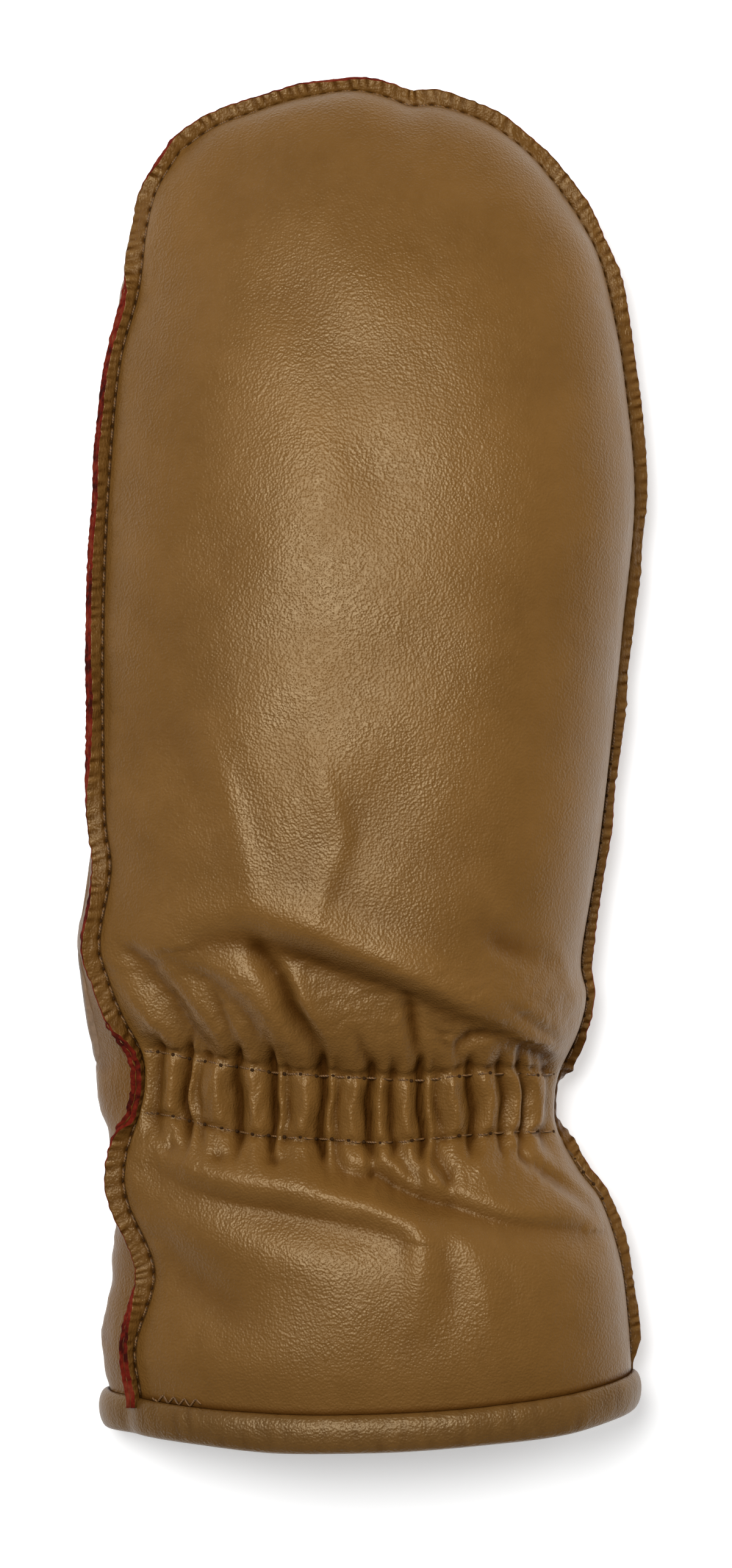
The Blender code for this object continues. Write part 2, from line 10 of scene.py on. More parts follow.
import bpy
import numpy as np
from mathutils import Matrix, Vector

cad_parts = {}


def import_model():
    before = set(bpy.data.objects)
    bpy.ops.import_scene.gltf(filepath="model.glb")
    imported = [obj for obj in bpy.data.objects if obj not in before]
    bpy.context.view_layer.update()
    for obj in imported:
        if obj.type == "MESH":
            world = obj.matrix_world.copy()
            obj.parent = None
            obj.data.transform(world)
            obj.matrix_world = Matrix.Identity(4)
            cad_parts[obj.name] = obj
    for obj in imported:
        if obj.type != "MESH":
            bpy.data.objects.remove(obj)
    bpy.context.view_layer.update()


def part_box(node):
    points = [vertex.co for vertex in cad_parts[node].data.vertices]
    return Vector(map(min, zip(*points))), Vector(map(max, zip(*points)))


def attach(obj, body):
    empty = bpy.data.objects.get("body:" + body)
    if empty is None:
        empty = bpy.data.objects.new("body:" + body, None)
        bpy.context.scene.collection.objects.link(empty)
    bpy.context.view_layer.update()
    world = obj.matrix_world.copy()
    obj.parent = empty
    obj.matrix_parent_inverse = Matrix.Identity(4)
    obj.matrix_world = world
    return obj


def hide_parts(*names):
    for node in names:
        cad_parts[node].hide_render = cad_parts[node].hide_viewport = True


MM = 0.001
TENTH = 0.1 * MM

# The photograph: its size in pixels, its scale at the height of the side seams, and its camera's place.
PHOTO_WIDTH, PHOTO_HEIGHT = 1200, 2572
PIXELS_PER_METRE = 8200
SEAM_PLANE = 0.020
CAMERA_DISTANCE = 0.70  # above the seam plane
CAMERA_X, CAMERA_Y = 0.0001, -0.0062

# Driving sizes, in metres, as in the part.
PANEL_LENGTH = 0.262
HAND_WIDTH = 0.106
CROWN_HEIGHT = 0.047
LEATHER = 0.0014
SEAM_MARGIN = 0.0032
GAP = 0.0003
BINDING_HEIGHT = 0.0078
BINDING_LEATHER = 0.0016
THUMB_LENGTH = 0.090
THUMB_WIDTH = 0.038
THUMB_THICKNESS = 0.0165
HALF_WIDTH = HAND_WIDTH / 2
SEAM_HALF = LEATHER + GAP / 2

# Proportions and angles, as in the part.
ROLL_LEFT = math.radians(25)
ROLL_RIGHT = math.radians(42)
ROW_SAG = 0.009
TIP_START = 0.80
TIP_ARC = 1.5
LEVEL_START = 0.50
LEFT_FULLNESS = (2.3, 0.85)
RIGHT_FULLNESS = (2.8, 0.5)
PALM_FULLNESS = (2.6, 0.5)
TIP_FULLNESS = (2.4, 0.5)
PALM_SINK = 2.0
LEAST_BULGE = 0.06
BULGE_END = 0.6
BULGE_PEAK = 0.25
DRAPE = 0.70
BINDING_DRAPE = 3.0
BINDING_LIFT = GAP + 1.3 * BINDING_LEATHER
THUMB_LIFT = THUMB_THICKNESS + GAP
THUMB_BASE = (-0.76, 0.275)
THUMB_LEAN = math.radians(-13)
THUMB_SEAM = 0.011
TUCK = 0.60

# Cross sections from the cuff to the fingertips: how far along the panel its two seams are, how far across,
# how far the palm bulges to the left, and the heights of the seams and the crown. They are shares of
# PANEL_LENGTH, of HALF_WIDTH, and of CROWN_HEIGHT.
SECTION_COLUMNS = (
    "left_along", "right_along", "left", "right", "bulge", "left_height", "right_height", "crown",
)
SECTIONS = (
    (0.000, 0.016, -0.86, 0.98, 0.15, 0.50, 0.30, 0.86),
    (0.040, 0.051, -0.88, 0.97, 0.16, 0.50, 0.29, 0.90),
    (0.095, 0.099, -0.81, 0.94, 0.19, 0.50, 0.28, 0.90),
    (0.148, 0.143, -0.91, 0.87, 0.06, 0.50, 0.28, 0.87),
    (0.179, 0.169, -0.92, 0.78, 0.06, 0.50, 0.28, 0.81),
    (0.215, 0.200, -0.87, 0.70, 0.16, 0.49, 0.28, 0.73),
    (0.238, 0.223, -0.85, 0.69, 0.20, 0.49, 0.28, 0.72),
    (0.262, 0.245, -0.86, 0.71, 0.20, 0.50, 0.28, 0.75),
    (0.291, 0.276, -0.93, 0.78, 0.15, 0.54, 0.28, 0.86),
    (0.319, 0.303, -0.98, 0.81, 0.12, 0.57, 0.28, 0.94),
    (0.347, 0.330, -1.01, 0.79, 0.10, 0.59, 0.28, 0.98),
    (0.400, 0.383, -0.97, 0.83, 0.10, 0.57, 0.28, 1.00),
    (0.437, 0.421, -0.99, 0.86, 0.05, 0.56, 0.28, 1.00),
    (0.505, 0.490, -1.00, 0.90, 0.04, 0.53, 0.28, 0.99),
    (0.601, 0.585, -1.00, 0.95, 0.04, 0.48, 0.28, 0.97),
    (0.696, 0.685, -0.98, 1.00, 0.04, 0.43, 0.28, 0.94),
    (0.784, 0.773, -0.94, 0.97, 0.06, 0.39, 0.27, 0.88),
    (0.841, 0.826, -0.87, 0.93, 0.11, 0.36, 0.27, 0.82),
    (0.887, 0.868, -0.84, 0.88, 0.07, 0.34, 0.27, 0.76),
    (0.921, 0.898, -0.80, 0.81, 0.04, 0.32, 0.26, 0.70),
    (0.952, 0.923, -0.71, 0.73, 0.02, 0.30, 0.26, 0.66),
)
LAST = len(SECTIONS) - 1.0

# The curve of the fingertips: place across, and rise as a share of the panel's length.
TIP = (
    (-1.00, 0.000), (-0.84, 0.019), (-0.60, 0.036), (-0.31, 0.052), (-0.05, 0.060), (0.10, 0.057),
    (0.20, 0.053), (0.34, 0.055), (0.50, 0.051), (0.69, 0.040), (0.86, 0.022), (1.00, 0.000),
)

# Widths of the thumb from its base to its tip, as shares of THUMB_WIDTH, and the shape of its section.
THUMB_WIDTHS = (0.94, 1.00, 0.99, 0.92, 0.84, 0.76)
THUMB_ROUNDING, THUMB_FLATNESS = 0.62, 1.18
THUMB_RINGS, THUMB_AROUND = 84, 64

# Folds of the back: depth in tenths of a millimetre, negative for a ridge; width on the left and on the
# right of the path as it runs; and the path. Widths and paths are in pixels of the photograph.
BACK_FOLDS = (
    ("under_the_hand", 38, 34, 62, ((330, 1552), (395, 1546), (460, 1570), (516, 1589), (581, 1615),
     (647, 1641), (700, 1665), (760, 1690), (815, 1700))),
    ("hand_edge", 8, 44, 70, ((190, 1552), (250, 1567), (320, 1562), (395, 1548))),
    ("hand_roll", -20, 46, 26, ((450, 1512), (512, 1528), (573, 1560), (642, 1587), (712, 1617),
     (799, 1662), (886, 1700), (922, 1738))),
    ("roll_end", 18, 14, 20, ((850, 1722), (890, 1738), (925, 1752))),
    ("left_pleat", 23, 19, 24, ((190, 1558), (216, 1573), (247, 1615), (273, 1645), (303, 1689),
     (333, 1723), (353, 1743))),
    ("diagonal_dent", 5, 60, 75, ((345, 240), (430, 380), (520, 520), (590, 660))),
    ("left_ridge", -9, 18, 18, ((190, 1615), (233, 1660), (277, 1704), (318, 1730))),
    ("curved_pleat", 17, 19, 24, ((255, 1584), (303, 1602), (342, 1623), (377, 1650), (403, 1676),
     (422, 1706), (440, 1737), (444, 1752))),
    ("short_pleat", 12, 10, 12, ((340, 1640), (355, 1663), (377, 1706), (390, 1746))),
    ("long_pleat", 31, 17, 17, ((415, 1560), (438, 1593), (460, 1632), (477, 1667), (499, 1697),
     (520, 1728), (529, 1763))),
    ("long_ridge", -7, 14, 16, ((474, 1600), (492, 1640), (512, 1680), (535, 1730))),
    ("faint_pleat", 9, 9, 12, ((583, 1700), (596, 1730), (607, 1763))),
    ("right_pleat", 17, 10, 13, ((671, 1645), (677, 1676), (683, 1723), (690, 1763))),
    ("wavy_pleat", 13, 10, 12, ((751, 1755), (755, 1727), (785, 1707), (830, 1702))),
    ("small_wrinkle", 5, 5, 5, ((712, 1700), (728, 1708), (745, 1706))),
    ("other_wrinkle", 5, 5, 5, ((716, 1716), (730, 1722), (742, 1730))),
    ("right_dent", 12, 30, 22, ((800, 1530), (840, 1556), (890, 1572))),
    ("right_crease", 9, 10, 12, ((828, 1648), (850, 1662), (890, 1690), (925, 1720))),
    ("bright_arc", -5, 12, 12, ((912, 1552), (930, 1590), (948, 1645))),
    ("cuff_ridge", -15, 34, 26, ((323, 1921), (404, 1938), (476, 1950), (542, 1962), (595, 1976),
     (642, 1993), (671, 2007), (688, 2031), (690, 2064), (688, 2117), (685, 2165))),
    ("cuff_hollow", 24, 26, 48, ((245, 1918), (309, 1955), (380, 1976), (452, 1987), (523, 2002),
     (595, 2016), (650, 2030))),
    ("cuff_crease", 30, 14, 40, ((542, 1886), (561, 1915), (595, 1926), (619, 1921), (642, 1936),
     (690, 1960), (738, 1971), (785, 1988), (857, 2010), (955, 2017))),
    ("puff_valley", 12, 10, 12, ((655, 1885), (668, 1912), (700, 1950))),
    ("puff_valley_right", 12, 10, 12, ((712, 1882), (732, 1920), (744, 1958))),
    ("puff_left", -6, 12, 12, ((640, 1890), (655, 1920))),
    ("puff_middle", -9, 12, 12, ((688, 1895), (708, 1925), (722, 1948))),
    ("puff_right", -9, 20, 22, ((752, 1880), (776, 1905), (810, 1945))),
    ("side_crease", 14, 8, 14, ((845, 1882), (895, 1917), (933, 1943), (976, 1979), (1009, 2026))),
    ("slanting_dip", 12, 36, 44, ((240, 2020), (300, 2085), (345, 2125), (400, 2165))),
    ("second_ridge", -6, 26, 22, ((758, 2010), (785, 2079), (800, 2145), (806, 2190))),
    ("between_ridges", 5, 22, 22, ((722, 2030), (735, 2100), (745, 2170))),
    ("pocket_left", 8, 16, 16, ((279, 1868), (281, 1892))),
    ("pocket_middle", 9, 16, 16, ((358, 1882), (359, 1908))),
    ("pocket_right", 9, 16, 16, ((450, 1890), (450, 1912))),
    ("hand_dip", 9, 90, 70, ((549, 1437), (638, 1393), (756, 1423), (830, 1500), (850, 1556))),
    ("left_dent", 6, 60, 60, ((208, 1200), (300, 1230), (300, 1380))),
    ("upper_ridge", -6, 20, 30, ((327, 1186), (379, 1319), (401, 1408), (416, 1497))),
    ("middle_ridge", -6, 20, 30, ((520, 1230), (534, 1289), (560, 1378), (530, 1452), (515, 1530))),
    ("long_valley", 4, 90, 60, ((386, 282), (460, 505), (579, 682), (608, 801), (610, 1000))),
)

# Valleys of the gathers over the elastic: pixels along the band, and depth in tenths of a millimetre.
GATHERS = (
    (256, 9), (303, 17), (323, 6), (387, 17), (447, 18), (468, 7), (529, 18), (552, 8),
    (607, 17), (642, 12), (692, 18), (716, 8), (775, 15), (829, 12), (864, 12), (903, 8),
)

# How the gathers and the whole band fade beyond the rows of stitches, and other widths there, in pixels.
GATHER_FADE_ABOVE, GATHER_FADE_BELOW, BAND_FADE = 24, 36, 30
GROOVE_WIDTH, VALLEY_WIDTH, WIDE_PUFF = 6.5, 7.5, 28
PUFF_HEIGHT, BAND_DEPTH = 1.45 * MM, 0.4 * MM
GROOVE_DEPTH, NEEDLE_DEPTH = 0.65 * MM, 0.45 * MM

# The two rows of stitches over the elastic, in pixels, and the spacing and length of their stitches.
UPPER_ROW = (
    (222, 1723), (263, 1726), (308, 1736), (388, 1749), (475, 1762), (528, 1765), (609, 1769), (692, 1772),
    (741, 1766), (788, 1762), (834, 1761), (916, 1762),
)
LOWER_ROW = (
    (222, 1824), (268, 1828), (315, 1839), (349, 1847), (395, 1857), (450, 1864), (528, 1868), (620, 1874),
    (698, 1868), (741, 1864), (811, 1859), (851, 1856), (916, 1856),
)
ELASTIC_PITCH = 26.0
ELASTIC_STITCH = 19
FIRST_STITCH = 14


def smooth_table(places, values, wanted):
    """Values read from a table with a smooth curve through its rows."""
    places = np.asarray(places, float)
    values = np.asarray(values, float)
    slopes = np.gradient(values, places)
    wanted = np.clip(wanted, places[0], places[-1])
    cell = np.clip(np.searchsorted(places, wanted, side="right") - 1, 0, len(places) - 2)
    width = places[cell + 1] - places[cell]
    t = (wanted - places[cell]) / width
    start, end = values[cell], values[cell + 1]
    start_slope, end_slope = slopes[cell] * width, slopes[cell + 1] * width
    return (
        start * (2 * t**3 - 3 * t**2 + 1)
        + start_slope * (t**3 - 2 * t**2 + t)
        + end * (3 * t**2 - 2 * t**3)
        + end_slope * (t**3 - t**2)
    )


def table_value(table, wanted):
    """The second column of a table, read at places in its first."""
    places, values = np.array(sorted(table), float).T
    return smooth_table(places, values, wanted)


def smooth_step(t):
    t = np.clip(t, 0, 1)
    return t * t * (3 - 2 * t)


def smooth_max(a, b, blend):
    """The larger of two heights, rounded where they meet, and exactly b well inside it."""
    t = np.clip(0.5 + 0.5 * (a - b) / blend, 0, 1)
    return b + (a - b) * t + blend * t * (1 - t)


def bell(distance, width):
    return np.exp(-((distance / width) ** 2))


def unit(vectors):
    return vectors / np.linalg.norm(vectors, axis=-1, keepdims=True)


def section(name, station):
    """One column of the section table, read at fractional row numbers."""
    column = SECTION_COLUMNS.index(name)
    return smooth_table(range(len(SECTIONS)), [row[column] for row in SECTIONS], station)


def fullness(t, shoulder, power):
    return (1 - np.clip(t, 0, 1) ** shoulder) ** power


def toward_tip(station, start):
    return np.clip((section("left_along", station) - start) / (SECTIONS[-1][0] - start), 0, 1)


def tip_fall(station):
    return fullness(toward_tip(station, TIP_START), *TIP_FULLNESS)


def seam_frame(across, station):
    """Points of the seam surface, in the pattern's own axes."""

    def between(left, right):
        start, end = section(left, station), section(right, station)
        return start + (end - start) * (1 + across) / 2

    along = between("left_along", "right_along")
    bend = toward_tip(station, TIP_START) ** TIP_ARC
    rise = table_value(TIP, across)
    y = PANEL_LENGTH * (along - ROW_SAG * (1 - across**2) * (1 - bend) + rise * bend)
    x, z = between("left", "right") * HALF_WIDTH, between("left_height", "right_height") * CROWN_HEIGHT
    return np.stack([x, y, z], axis=-1)


def seam_normal(across, station):
    roll = np.where(across < 0, ROLL_LEFT, ROLL_RIGHT) * np.abs(across)
    roll *= 1 - smooth_step(toward_tip(station, LEVEL_START))
    normal = np.stack([np.sin(roll), np.zeros_like(roll), np.cos(roll)], axis=-1)
    side = np.where(across < 0, -1.0, 1.0)
    run = unit(seam_frame(side, station + 0.05) - seam_frame(side, station - 0.05))
    normal -= np.abs(across)[..., None] * (normal * run).sum(axis=-1, keepdims=True) * run
    return unit(normal)


def thumb_axes(x, y):
    """Place of plan points along the thumb and to its right."""
    base_x, base_y = THUMB_BASE[0] * HALF_WIDTH, THUMB_BASE[1] * PANEL_LENGTH
    along = -(x - base_x) * math.sin(THUMB_LEAN) + (y - base_y) * math.cos(THUMB_LEAN)
    aside = (x - base_x) * math.cos(THUMB_LEAN) + (y - base_y) * math.sin(THUMB_LEAN)
    return along, aside


def surface_height(x, y):
    """What the underside lies on: the table, the thumb, and the binding at the cuff."""
    along, aside = thumb_axes(x, y)
    half = THUMB_WIDTH / 2
    past_end = np.abs(along - THUMB_LENGTH / 2) - (THUMB_LENGTH / 2 - half)
    distance = np.hypot(np.clip(past_end, 0, None), aside)
    over_thumb = THUMB_LIFT * (1 - smooth_step((distance - half) / (DRAPE * THUMB_WIDTH)))
    over_binding = BINDING_LIFT * (1 - smooth_step(y / (BINDING_DRAPE * BINDING_HEIGHT)))
    return np.maximum(over_thumb, over_binding)


def normals_of(points):
    return unit(np.cross(np.gradient(points, axis=1), np.gradient(points, axis=0)))


def smooth_back(across, station):
    """Outer face of the back panel without its folds."""
    x, y, seam_z = np.moveaxis(seam_frame(across, station), -1, 0)
    side = np.abs(across)
    left_full, right_full = fullness(side, *LEFT_FULLNESS), fullness(side, *RIGHT_FULLNESS)
    full = np.where(across < 0, left_full, right_full) * tip_fall(station)
    z = seam_z + (section("crown", station) * CROWN_HEIGHT - seam_z - SEAM_HALF) * full
    return np.stack([x, y, z], axis=-1) + seam_normal(across, station) * SEAM_HALF


def smooth_palm(across, station):
    """Outer face of the palm panel, flattened where it lies on something."""
    x, y, seam_z = np.moveaxis(seam_frame(across, station), -1, 0)
    full = fullness(np.abs(across), *PALM_FULLNESS) * tip_fall(station)
    z = seam_z - (seam_z + PALM_SINK * LEATHER) * full
    turn = np.clip((across + 1) / BULGE_END, 0, 1)
    lean = np.sqrt(turn / BULGE_PEAK) * ((1 - turn) / (1 - BULGE_PEAK)) ** (0.5 / BULGE_PEAK - 0.5)
    x = x - (section("bulge", station) + LEAST_BULGE) * HALF_WIDTH * lean * tip_fall(station)
    points = np.stack([x, y, z], axis=-1) - seam_normal(across, station) * SEAM_HALF
    ground = surface_height(points[..., 0], points[..., 1])
    points[..., 2] = smooth_max(points[..., 2], ground, 2 * LEATHER)
    return points


def even_places(curve, start, end, step):
    """Parameters of a curve's points that are a step apart. The step may depend on the parameter."""
    fine = np.linspace(start, end, 4001)
    points = curve(fine)
    pieces = np.linalg.norm(np.diff(points, axis=0), axis=-1)
    spacing = step((fine[1:] + fine[:-1]) / 2) if callable(step) else step
    length = np.concatenate([[0], np.cumsum(pieces / spacing)])
    return np.interp(np.linspace(0, length[-1], round(length[-1]) + 1), length, fine)


def along_corners(corners):
    """A curve with straight runs through corners, as a function of a fractional corner number."""
    numbers = np.arange(len(corners))
    return lambda place: np.stack([np.interp(place, numbers, corners[:, k]) for k in range(3)], axis=-1)


def pixel_of(points):
    """Where the photograph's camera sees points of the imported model's frame."""
    scale = PIXELS_PER_METRE * CAMERA_DISTANCE / (CAMERA_DISTANCE - (points[..., 2] - SEAM_PLANE))
    px = PHOTO_WIDTH / 2 + (points[..., 0] - CAMERA_X) * scale
    py = PHOTO_HEIGHT / 2 - (points[..., 1] - CAMERA_Y) * scale
    return px, py


def smooth_path(points, steps=6):
    points = np.asarray(points, float)
    places = np.arange(len(points))
    wanted = np.linspace(0, len(points) - 1, steps * (len(points) - 1) + 1)
    return np.stack([smooth_table(places, points[:, k], wanted) for k in range(2)], axis=-1)


def path_distance(px, py, path):
    """Distance in pixels to a path, which side of it a pixel is on, and how far along it, from 0 to 1."""
    path = smooth_path(path)
    best = np.full(px.shape, np.inf)
    side = np.zeros(px.shape)
    place = np.zeros(px.shape)
    for k, (start, end) in enumerate(zip(path[:-1], path[1:])):
        run = end - start
        t = np.clip(((px - start[0]) * run[0] + (py - start[1]) * run[1]) / (run @ run), 0, 1)
        dx, dy = px - start[0] - t * run[0], py - start[1] - t * run[1]
        distance = np.hypot(dx, dy)
        closer = distance < best
        best = np.where(closer, distance, best)
        side = np.where(closer, run[0] * dy - run[1] * dx, side)
        place = np.where(closer, (k + t) / (len(path) - 1), place)
    return best, side, place


def ripples(u, v, longest, shortest, angle=0.0, spread=math.pi, waves=24, seed=1):
    """Smooth noise of about unit size: waves between two lengths, within a spread of one direction."""
    rng = np.random.default_rng(seed)
    total = 0
    for _ in range(waves):
        length = shortest * (longest / shortest) ** rng.random()
        turn = angle + spread * (rng.random() - 0.5)
        phase = 2 * math.pi * rng.random()
        total = total + np.sin(2 * math.pi * (u * math.cos(turn) + v * math.sin(turn)) / length + phase)
    return total / math.sqrt(waves / 2)


def softened(field, times):
    """A grid of values, averaged with their neighbours again and again."""
    for _ in range(times):
        wide = np.pad(field, 1, mode="edge")
        field = (wide[:-2, 1:-1] + wide[2:, 1:-1] + wide[1:-1, :-2] + wide[1:-1, 2:] + 4 * field) / 8
    return field


def lowest_nearby(field, times):
    for _ in range(times):
        wide = np.pad(field, 1, mode="edge")
        beside = [wide[:-2, 1:-1], wide[2:, 1:-1], wide[1:-1, :-2], wide[1:-1, 2:]]
        field = np.minimum.reduce([*beside, field])
    return field


def fold_change(px, py):
    """Height change, in metres, of all the folds of the back at pixels of the photograph."""
    total = np.zeros(px.shape)
    for _, depth, near, far, path in BACK_FOLDS:
        distance, side, place = path_distance(px, py, path)
        width = np.where(side > 0, far, near)
        fade = 0.35 + 0.65 * np.sin(math.pi * place)
        total -= depth * TENTH * fade * bell(distance, width)
    return total


def band_middle(px):
    """Row of the elastic's middle, by column of the photograph."""
    return (table_value(UPPER_ROW, px) + table_value(LOWER_ROW, px)) / 2


def gather_change(px, py):
    """Height change over the elastic: two sewn grooves, puffs between them, and pleats that fade beyond."""
    upper, lower = table_value(UPPER_ROW, px), table_value(LOWER_ROW, px)
    wander = px + 3.0 * np.sin(py / 23 + px / 60) + 1.2 * np.sin(py / 11 + px / 23)
    places, depths = np.array(GATHERS, float).T
    nearest = np.abs(wander[..., None] - places).argmin(axis=-1)
    edges = np.concatenate([[places[0] - 40], (places[1:] + places[:-1]) / 2, [places[-1] + 30]])
    offset = wander - places[nearest]
    half = np.where(offset > 0, edges[nearest + 1] - places[nearest], places[nearest] - edges[nearest])
    swell = smooth_step(np.abs(offset) / half)
    valley = 0.50 * (1 - swell) + 0.50 * bell(offset, VALLEY_WIDTH)
    t = (py - upper) / (lower - upper)
    dome = np.sqrt(np.clip(4 * t * (1 - t), 0, 1))
    wide = np.clip(half / WIDE_PUFF, 0.25, 1.2)
    beyond = np.maximum(upper - py, py - lower)
    fade = np.where(py < upper, GATHER_FADE_ABOVE, GATHER_FADE_BELOW)
    reach = bell(np.maximum(beyond, 0), fade)
    pinch = bell(py - upper, GROOVE_WIDTH) + bell(py - lower, GROOVE_WIDTH)
    first_hole = UPPER_ROW[0][0] + FIRST_STITCH + (ELASTIC_STITCH + ELASTIC_PITCH) / 2
    needle = 0.5 + 0.5 * np.cos(2 * math.pi * (px - first_hole) / ELASTIC_PITCH)
    pleats = 1.5 * depths[nearest] * TENTH * valley * reach * (1 - 0.3 * pinch)
    puffs = PUFF_HEIGHT * wide * dome * swell
    grooves = (GROOVE_DEPTH + NEEDLE_DEPTH * needle) * pinch
    return puffs - pleats - grooves - BAND_DEPTH * bell(np.maximum(beyond, 0), BAND_FADE)


def small_creases(px, py):
    """The leather's own unevenness: broad and soft on the hand, fine and sharp by the elastic."""
    near_band = bell(py - band_middle(px), 120)
    crumpled = bell(py - CRUMPLED_ROW, 90)
    broad = 0.10 * ripples(px, py, 320, 130, seed=3)
    middle = 0.012 * ripples(px, py, 70, 30, seed=4)
    upright = 0.11 * near_band * ripples(px, py, 30, 11, spread=0.7, seed=5)
    crumple = 0.045 * crumpled * ripples(px, py, 34, 12, angle=math.pi / 2, spread=2.2, seed=6)
    return MM * (broad + middle + upright + crumple)


def grid_faces(rows, columns):
    corner = (np.arange(rows - 1)[:, None] * columns + np.arange(columns - 1)[None, :]).ravel()
    return np.stack([corner, corner + 1, corner + columns + 1, corner + columns], axis=-1)


def shell_faces(rows, columns):
    """Faces of a closed shell: those of its outer grid, of its inner grid, and of the edge between them."""
    outer = grid_faces(rows, columns)
    count = rows * columns
    inner = outer[:, ::-1] + count
    last = (rows - 1) * columns
    ring = np.concatenate([
        np.arange(columns - 1),
        np.arange(rows - 1) * columns + columns - 1,
        last + np.arange(columns - 1, 0, -1),
        np.arange(rows - 1, 0, -1) * columns,
    ])
    after = np.roll(ring, -1)
    edge = np.stack([after, ring, ring + count, after + count], axis=-1)
    return outer, inner, edge


def new_object(name, points, faces, materials, indices=None, relief_shade=None, crinkle=None):
    mesh = bpy.data.meshes.new(name)
    mesh.from_pydata(points.reshape(-1, 3).tolist(), [], [tuple(face) for face in faces])
    for material in materials:
        mesh.materials.append(material)
    if indices is not None:
        mesh.polygons.foreach_set("material_index", np.asarray(indices, np.int32))
    for label, values in (("relief_shade", relief_shade), ("crinkle", crinkle)):
        if values is not None:
            attribute = mesh.attributes.new(label, "FLOAT", "POINT")
            attribute.data.foreach_set("value", np.asarray(values, np.float32).ravel())
    mesh.shade_smooth()
    mesh.update()
    obj = bpy.data.objects.new(name, mesh)
    bpy.context.scene.collection.objects.link(obj)
    return obj


def new_solid(name, places, faces, *looks):
    """A closed solid. Its faces are turned outwards by the sign of its volume."""
    obj = new_object(name, places, faces, *looks)
    mesh = obj.data
    mesh.calc_loop_triangles()
    corners = np.empty(len(mesh.loop_triangles) * 3, np.int32)
    mesh.loop_triangles.foreach_get("vertices", corners)
    a, b, c = places.reshape(-1, 3)[corners.reshape(-1, 3)].transpose(1, 0, 2)
    if np.einsum("ij,ij->i", a, np.cross(b, c)).sum() < 0:
        mesh.flip_normals()
    return obj


def new_shell(name, outer, inner, relief_shade, crinkle, materials):
    rows, columns = outer.shape[:2]
    sets = shell_faces(rows, columns)
    faces = np.concatenate(sets).tolist()
    indices = np.repeat([0, 1, 0], [len(part) for part in sets])
    points = np.concatenate([outer.reshape(-1, 3), inner.reshape(-1, 3)])
    looks = [np.concatenate([shade_and_crinkle.ravel(), np.zeros(rows * columns)]) for shade_and_crinkle in (relief_shade, crinkle)]
    return new_object(name, points, faces, materials, indices, *looks)


def loft(rings, closed):
    """Points and faces of a solid swept through rings of points, with caps at its ends unless closed."""
    count, around = rings.shape[:2]
    steps = count if closed else count - 1
    row = np.arange(steps)[:, None]
    column = np.arange(around)[None, :]
    after_row, after_column = (row + 1) % count, (column + 1) % around
    corners = [
        row * around + column,
        row * around + after_column,
        after_row * around + after_column,
        after_row * around + column,
    ]
    faces = np.stack(corners, axis=-1).reshape(-1, 4).tolist()
    if not closed:
        faces.append(list(range(around))[::-1])
        faces.append(list(range((count - 1) * around, count * around)))
    return rings.reshape(-1, 3), faces


# The rim: up the left seam, round the fingertips and down the right seam.


def rim_spots(u):
    """Place across and section row: rim places 0 to 1 are on the left, 1 to 2 round the tip, then right."""
    u = np.asarray(u, float)
    across = np.clip(2 * u - 3, -1, 1)
    station = LAST * np.clip(np.minimum(u, 3 - u), 0, 1)
    return across, station


def rim_curve(u):
    return seam_frame(*rim_spots(u))


def rim_frame(u):
    """Points of the rim with their run, outward direction and upward normal."""
    across, station = rim_spots(u)
    points, normals = seam_frame(across, station), seam_normal(across, station)
    run = unit(np.gradient(points, axis=0))
    for _ in range(12):
        run = unit(np.concatenate([run[:1], (run[:-2] + 2 * run[1:-1] + run[2:]) / 4, run[-1:]]))
    outward = unit(np.cross(normals, run))
    return points, run, outward, unit(np.cross(run, outward))


def frame_shift():
    """From the pattern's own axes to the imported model's frame, read from the back panel's box."""
    low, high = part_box("back_panel")
    points, _, outward, normal = rim_frame(even_places(rim_curve, 0, 3, 1.0 * MM))
    edge = points + outward * SEAM_MARGIN + normal * SEAM_HALF
    x = (low[0] + high[0]) / 2 - (edge[:, 0].min() + edge[:, 0].max()) / 2
    y = high[1] - edge[:, 1].max()
    return np.array([x, y, 0.0])


# Materials.

# Dark, middle and light colours of the leathers, and dark and light of the thread.
TAN = ((0.150, 0.067, 0.0125), (0.178, 0.081, 0.0160), (0.206, 0.095, 0.0200))
TRIM = ((0.112, 0.051, 0.0105), (0.136, 0.063, 0.0135), (0.160, 0.075, 0.0165))
THREAD = ((0.085, 0.040, 0.011), (0.230, 0.112, 0.034))

# The leather's colour factor, painted shade in its creases and a little painted light on its ridges, and its
# gloss, by how low (0) or high (1) a place stands, and its roughness.
LEATHER_SHADE = ((0.0, (0.34, 0.27, 0.22)), (0.28, (0.74, 0.69, 0.64)), (0.5, 0.95), (0.7, 1.06))
LEATHER_GLOSS = ((0.10, 0.02), (0.45, 0.60))
LEATHER_ROUGHNESS = ((0.3, 0.34), (0.7, 0.46))


def set_inputs(node, **values):
    for name, value in values.items():
        node.inputs[name.replace("_", " ")].default_value = value


def add_node(tree, kind, **values):
    node = tree.nodes.new(kind)
    set_inputs(node, **values)
    return node


def attribute(tree, name):
    node = tree.nodes.new("ShaderNodeAttribute")
    node.attribute_name = name
    return node.outputs["Fac"]


def noise(tree, place, scale, detail=3.0, roughness=0.5):
    node = add_node(tree, "ShaderNodeTexNoise", Scale=scale, Detail=detail, Roughness=roughness)
    tree.links.new(place, node.inputs["Vector"])
    return node.outputs["Fac"]


